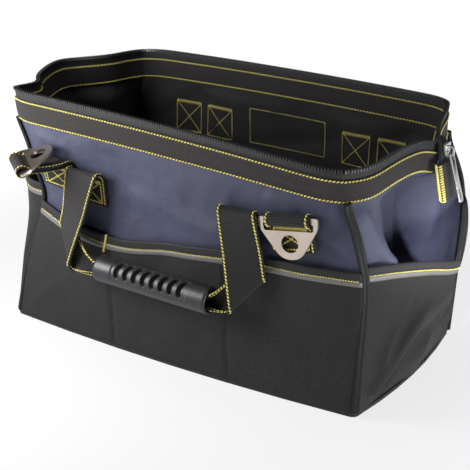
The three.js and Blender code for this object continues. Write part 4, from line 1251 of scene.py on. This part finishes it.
# Side view of the webbing's middle line, from the sewn tail round the bar and back down
def loopLine(arm):
    look = loopLook
    back = look["standoff"] + look["webbing"] / 2
    front = look["standoff"] + look["webbing"] * 1.5
    cx = look["standoff"] + look["outer"] + arm
    radius = (look["outer"] + look["inner"]) / 2

    def roundBar(fromAngle, toAngle):
        angles = [math.radians(d) for d in range(fromAngle, toAngle - 1, -20)]
        return [(cx + radius * math.cos(a), radius * math.sin(a)) for a in angles]
    count = look["tailCells"]
    points = [(back, look["tail"] * (i / count - 1)) for i in range(count)]
    if arm > 0:
        points[-1] = (back, -6)
        points += [(back + 0.6, -2.2), (back + 2.4, 0.4), (back + 5, 1.3)]
        points += [(o, 1.25) for o in range(int(back + 9), int(cx - 8), 4)]
        points += roundBar(150, -150)
        points += [(o, -1.25) for o in range(int(cx - 9), int(front + 7), -4)]
        points += [(front + 3.4, -2.2), (front + 1.2, -4.4), (front, -8)]
    else:
        points += roundBar(180, -120)
        points += [(front, -7.5)]
    points += [(front, y) for y in (-12, -17, -22, -27, -look["tail"])]
    return points, cx


def makeLoop(loop):
    look = loopLook
    side = loop["side"]
    foot, out, run = wallFrame(side, loop["x"], loop["z"])
    lean = Matrix.Rotation(math.radians(loop["lean"]), 3, out)
    points, cx = loopLine(loop["arm"])
    table = [{"station": 0.0, "o": points[0][0], "y": points[0][1]}]
    for (ao, ay), (o, y) in zip(points, points[1:]):
        table.append({"station": table[-1]["station"] + math.hypot(o - ao, y - ay), "o": o, "y": y})
    length = table[-1]["station"]

    def inWorld(o, y, aside):
        point = bentOut(out, loop["turn"], o, aside)[0]
        point.z = y
        point = lean @ point
        spot = foot + run * point.dot(run)
        under = wallFrame(side, spot.x, loop["z"] + min(point.z, 0))[0]
        slack = (spot - under).dot(out) * (1 - smooth(y, *look["slackEase"]))
        return foot + point - out * slack

    def at(name, s):
        return columnAt(table, "station", name, clamp(s, 0, length))

    def place(u, a, b):
        s = u * length
        do, dy = [at(name, s + 0.4) - at(name, s - 0.4) for name in ("o", "y")]
        size = math.hypot(do, dy)
        through = b * look["webbing"]
        return inWorld(at("o", s) - dy / size * through, at("y", s) + do / size * through, a * look["width"])

    flatStrip("ring_loop_" + loop["name"] + "_webbing", look["cells"], (length, look["width"], look["webbing"]),
              place, "strapWebbing", "ring_loop_" + loop["name"])
    stitches = []
    for a in (-look["edgeStitch"], look["edgeStitch"]):
        def line(f):
            return onFace(place, mix(0.01, 0.99, f), a, 0.5, look["threadRise"])
        stitches += sewLine(line, threadLook, 120)

    def sewnEnd(x, y):
        return onFace(place, 1 - (look["boxCentre"] + y) / length, x / look["width"], 0.5, look["threadRise"])
    stitches += crossBox(sewnEnd, *look["boxSize"])
    sewnPiece("ring_loop_" + loop["name"] + "_thread", stitches)

    pivot, heading, ringRun = bentOut(out, loop["turn"], cx, 0)
    pivot = foot + lean @ pivot
    angle = math.radians(loop["ringAngle"])
    rise = lean @ (up * math.cos(angle) - heading * math.sin(angle))
    ringRun = lean @ ringRun
    basis = axesOf(ringRun, rise, ringRun.cross(rise))
    makeRing(loop["name"], Matrix.Scale(mm, 4) @ Matrix.Translation(pivot) @ basis)


# A closed outline from its corners, each rounded to its own radius
def roundedLoop(bm, corners, steps=7):
    edges = []
    first = previous = None
    count = len(corners)
    for i, (x, y, radius) in enumerate(corners):
        here = Vector((x, y, 0))
        before = Vector((*corners[i - 1][:2], 0)) - here
        after = Vector((*corners[(i + 1) % count][:2], 0)) - here
        start, end = here + before.normalized() * radius, here + after.normalized() * radius
        for k in range(steps):
            f = k / (steps - 1)
            vert = bm.verts.new(start * (1 - f) ** 2 + here * (2 * f * (1 - f)) + end * f * f)
            if previous:
                edges.append(bm.edges.new((previous, vert)))
            first = first or vert
            previous = vert
    edges.append(bm.edges.new((previous, first)))
    return edges


def roundEdges(bm, angle, width, segments):
    sharp = [e for e in bm.edges if len(e.link_faces) == 2 and e.calc_face_angle() > angle]
    bmesh.ops.bevel(bm, geom=sharp, offset=width, affect="EDGES", segments=segments, profile=0.5, material=-1,
                    clamp_overlap=True)


def makeRing(name, place):
    look = ringLook
    w, bar, drop = look["halfWidth"], look["bar"], look["drop"]
    bm = bmesh.new()
    edges = roundedLoop(bm, [(-w, bar, 2.4), (-w + 0.6, -7, 4), (-9, -drop, 9), (9, -drop, 9),
                             (w - 0.6, -7, 4), (w, bar, 2.4)])
    edges += roundedLoop(bm, [(-w + 4.6, -bar, 1.4), (w - 4.6, -bar, 1.4), (w - 5.4, -9.6, 1.8),
                              (-w + 5.4, -9.6, 1.8)])
    hole = bmesh.ops.create_circle(bm, cap_ends=False, segments=40, radius=look["hole"],
                                   matrix=Matrix.Translation((0, -look["holeDrop"], 0)))
    edges += list({e for v in hole["verts"] for e in v.link_edges})
    bmesh.ops.triangle_fill(bm, edges=edges, use_beauty=True)
    bmesh.ops.dissolve_limit(bm, angle_limit=0.01, verts=bm.verts[:], edges=bm.edges[:])
    bmesh.ops.solidify(bm, geom=bm.faces[:], thickness=look["thickness"])
    bmesh.ops.translate(bm, verts=bm.verts[:], vec=(0, 0, -sum(v.co.z for v in bm.verts) / len(bm.verts)))
    bmesh.ops.recalc_face_normals(bm, faces=bm.faces[:])
    roundEdges(bm, 0.9, look["edge"], 3)
    bmesh.ops.transform(bm, verts=bm.verts[:], matrix=place)
    bmesh.ops.recalc_face_normals(bm, faces=bm.faces[:])
    ring = finishPiece("ring_" + name + "_plate", bm, ["satinNickel"], ["ring_" + name],
                       "ring_" + name + "_body")
    ring.data.set_sharp_from_angle(angle=0.6)


for loop in loops:
    makeLoop(loop)
print("loops and rings made")


# Fittings taken from the frame's own solids, merged and with their edges rounded
def softened(name, node, finishName, width, body):
    bm = bmesh.new()
    bm.from_mesh(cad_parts[node].data)
    bmesh.ops.remove_doubles(bm, verts=bm.verts[:], dist=1e-5)
    bmesh.ops.dissolve_limit(bm, angle_limit=0.02, verts=bm.verts[:], edges=bm.edges[:])
    roundEdges(bm, 0.6, width * mm, 2)
    piece = finishPiece(name, bm, [finishName], [node], body)
    piece.data.set_sharp_from_angle(angle=0.7)


softened("zip_slider_body", "zip_slider", "brightNickel", 0.35, "bag")
softened("zip_pull_tag", "zip_pull", "brightNickel", 0.3, "zip_pull_body")
softened("zip_end_tab_webbing", "zip_end_tab", "tabWebbing", 0.5, "bag")
softened("zip_start_tab_cloth", "zip_start_tab", "reflectiveTape", 0.3, "bag")
for node, finishName in (("base_panel", "baseBoard"), ("zip_tail", "zipTape")):
    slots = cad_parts[node].data.materials
    slots.clear()
    slots.append(finishes[finishName])
print("fittings made")


# Thread on the band, the hems, the sewn ends and the inside of the walls
threadLines = {
    "band": (234.2, 215.2), "bandRise": 0.15, "hemDrop": 8.4, "hemRise": 0.1, "ends": (0.006, 0.994),
    "barX": -68.0, "barZ": 135, "barTop": 1.0, "barHeight": 18.0, "barRise": 0.3,
    "barStitches": 12, "barSlant": 10, "barLength": 3.4,
}
tabThread = {
    "top": (228.4, 222.5), "bottom": (234.6, 191.0), "side": -17.1, "rows": 15, "spread": 2.0, "length": 5.2,
    "slant": 38.0,
}
insideLook = {
    "boxX": (-122, -82, 82, 122), "boxZ": 170.5, "boxSize": (31.0, 33.0), "rise": 0.3,
    "patch": [(-45, 155), (45, 155), (45, 193), (-45, 193)],
}


def bandThread(run):
    proud = bagForm["bandProud"] + threadLines["bandRise"]
    stitches = []
    for height in threadLines["band"]:
        for off, way in ((proud, 1), (-bagForm["cloth"] - proud, -1)):
            def line(f):
                point, normal = facingPoint(mouthPoint, run, mix(*threadLines["ends"], f), height, off)
                return point, normal * way
            stitches += sewLine(line, threadLook, 240)
    sewnPiece("rim_band_" + run + "_thread", stitches)


def hemThread(side):
    proud = bagForm["bindingProud"] + threadLines["hemRise"]

    def line(f):
        along = panelAlong(side, mix(*threadLines["ends"], f), 140)
        return facingPoint(pocketPoint, side, along, hemAt(side, along) - threadLines["hemDrop"], proud)
    sewnPiece(sideNames[side] + "_hem_thread", sewLine(line, hemThreadLook, 160), hemThreadLook)


# A short bar of close stitches over the front hem
def barTack(look):
    along = alongAt("front", look["barX"], look["barZ"])
    proud = bagForm["bindingProud"] + look["barRise"]
    stitches = []
    for i in range(look["barStitches"]):
        height = hemAt("front", along) + look["barTop"] - look["barHeight"] * i / (look["barStitches"] - 1)
        point, normal = facingPoint(pocketPoint, "front", along, height, proud)
        stitches.append((point, Vector((1, 0, 0)), normal, look["barSlant"], look["barLength"]))
    sewnPiece("front_hem_bar_thread", stitches)


# Close slanted stitches in two rows down the side of the zip's end tab
def tabStitches(look):
    stitches = []
    for i in range(look["rows"]):
        x, z = [mix(a, b, i / (look["rows"] - 1)) for a, b in zip(look["top"], look["bottom"])]
        for hand in (-1, 1):
            point = Vector((x + hand * look["spread"], look["side"], z))
            slant = hand * look["slant"]
            stitches.append((point, Vector((1, 0, 0)), Vector((0, -1, 0)), slant, look["length"]))
    sewnPiece("zip_end_tab_thread", stitches)


# Crossed boxes, and on the back the outline of a patch, sewn through to the inside of a wall
def insideThread(side, look):
    def onLining(x, z):
        along = alongAt(side, x, z)
        off = -bagForm["cloth"] - look["rise"]
        point, normal = facingPoint(wallPoint, side, along, z - liftAt(side, along, z), off)
        return point, -normal
    stitches = []
    for x in look["boxX"]:
        stitches += crossBox(lambda a, b: onLining(x + a, look["boxZ"] + b), *look["boxSize"])
    if side == "back":
        for a, b in zip(look["patch"], look["patch"][1:] + look["patch"][:1]):
            stitches += straightStitches(onLining, a, b, boxThread)
    sewnPiece(side + "_inside_box_thread", stitches, boxThread)


for mouthRun in mouthRuns:
    bandThread(mouthRun)
for side in sideNames:
    hemThread(side)
barTack(threadLines)
tabStitches(tabThread)
for side in ("front", "back"):
    insideThread(side, insideLook)
print("thread sewn")
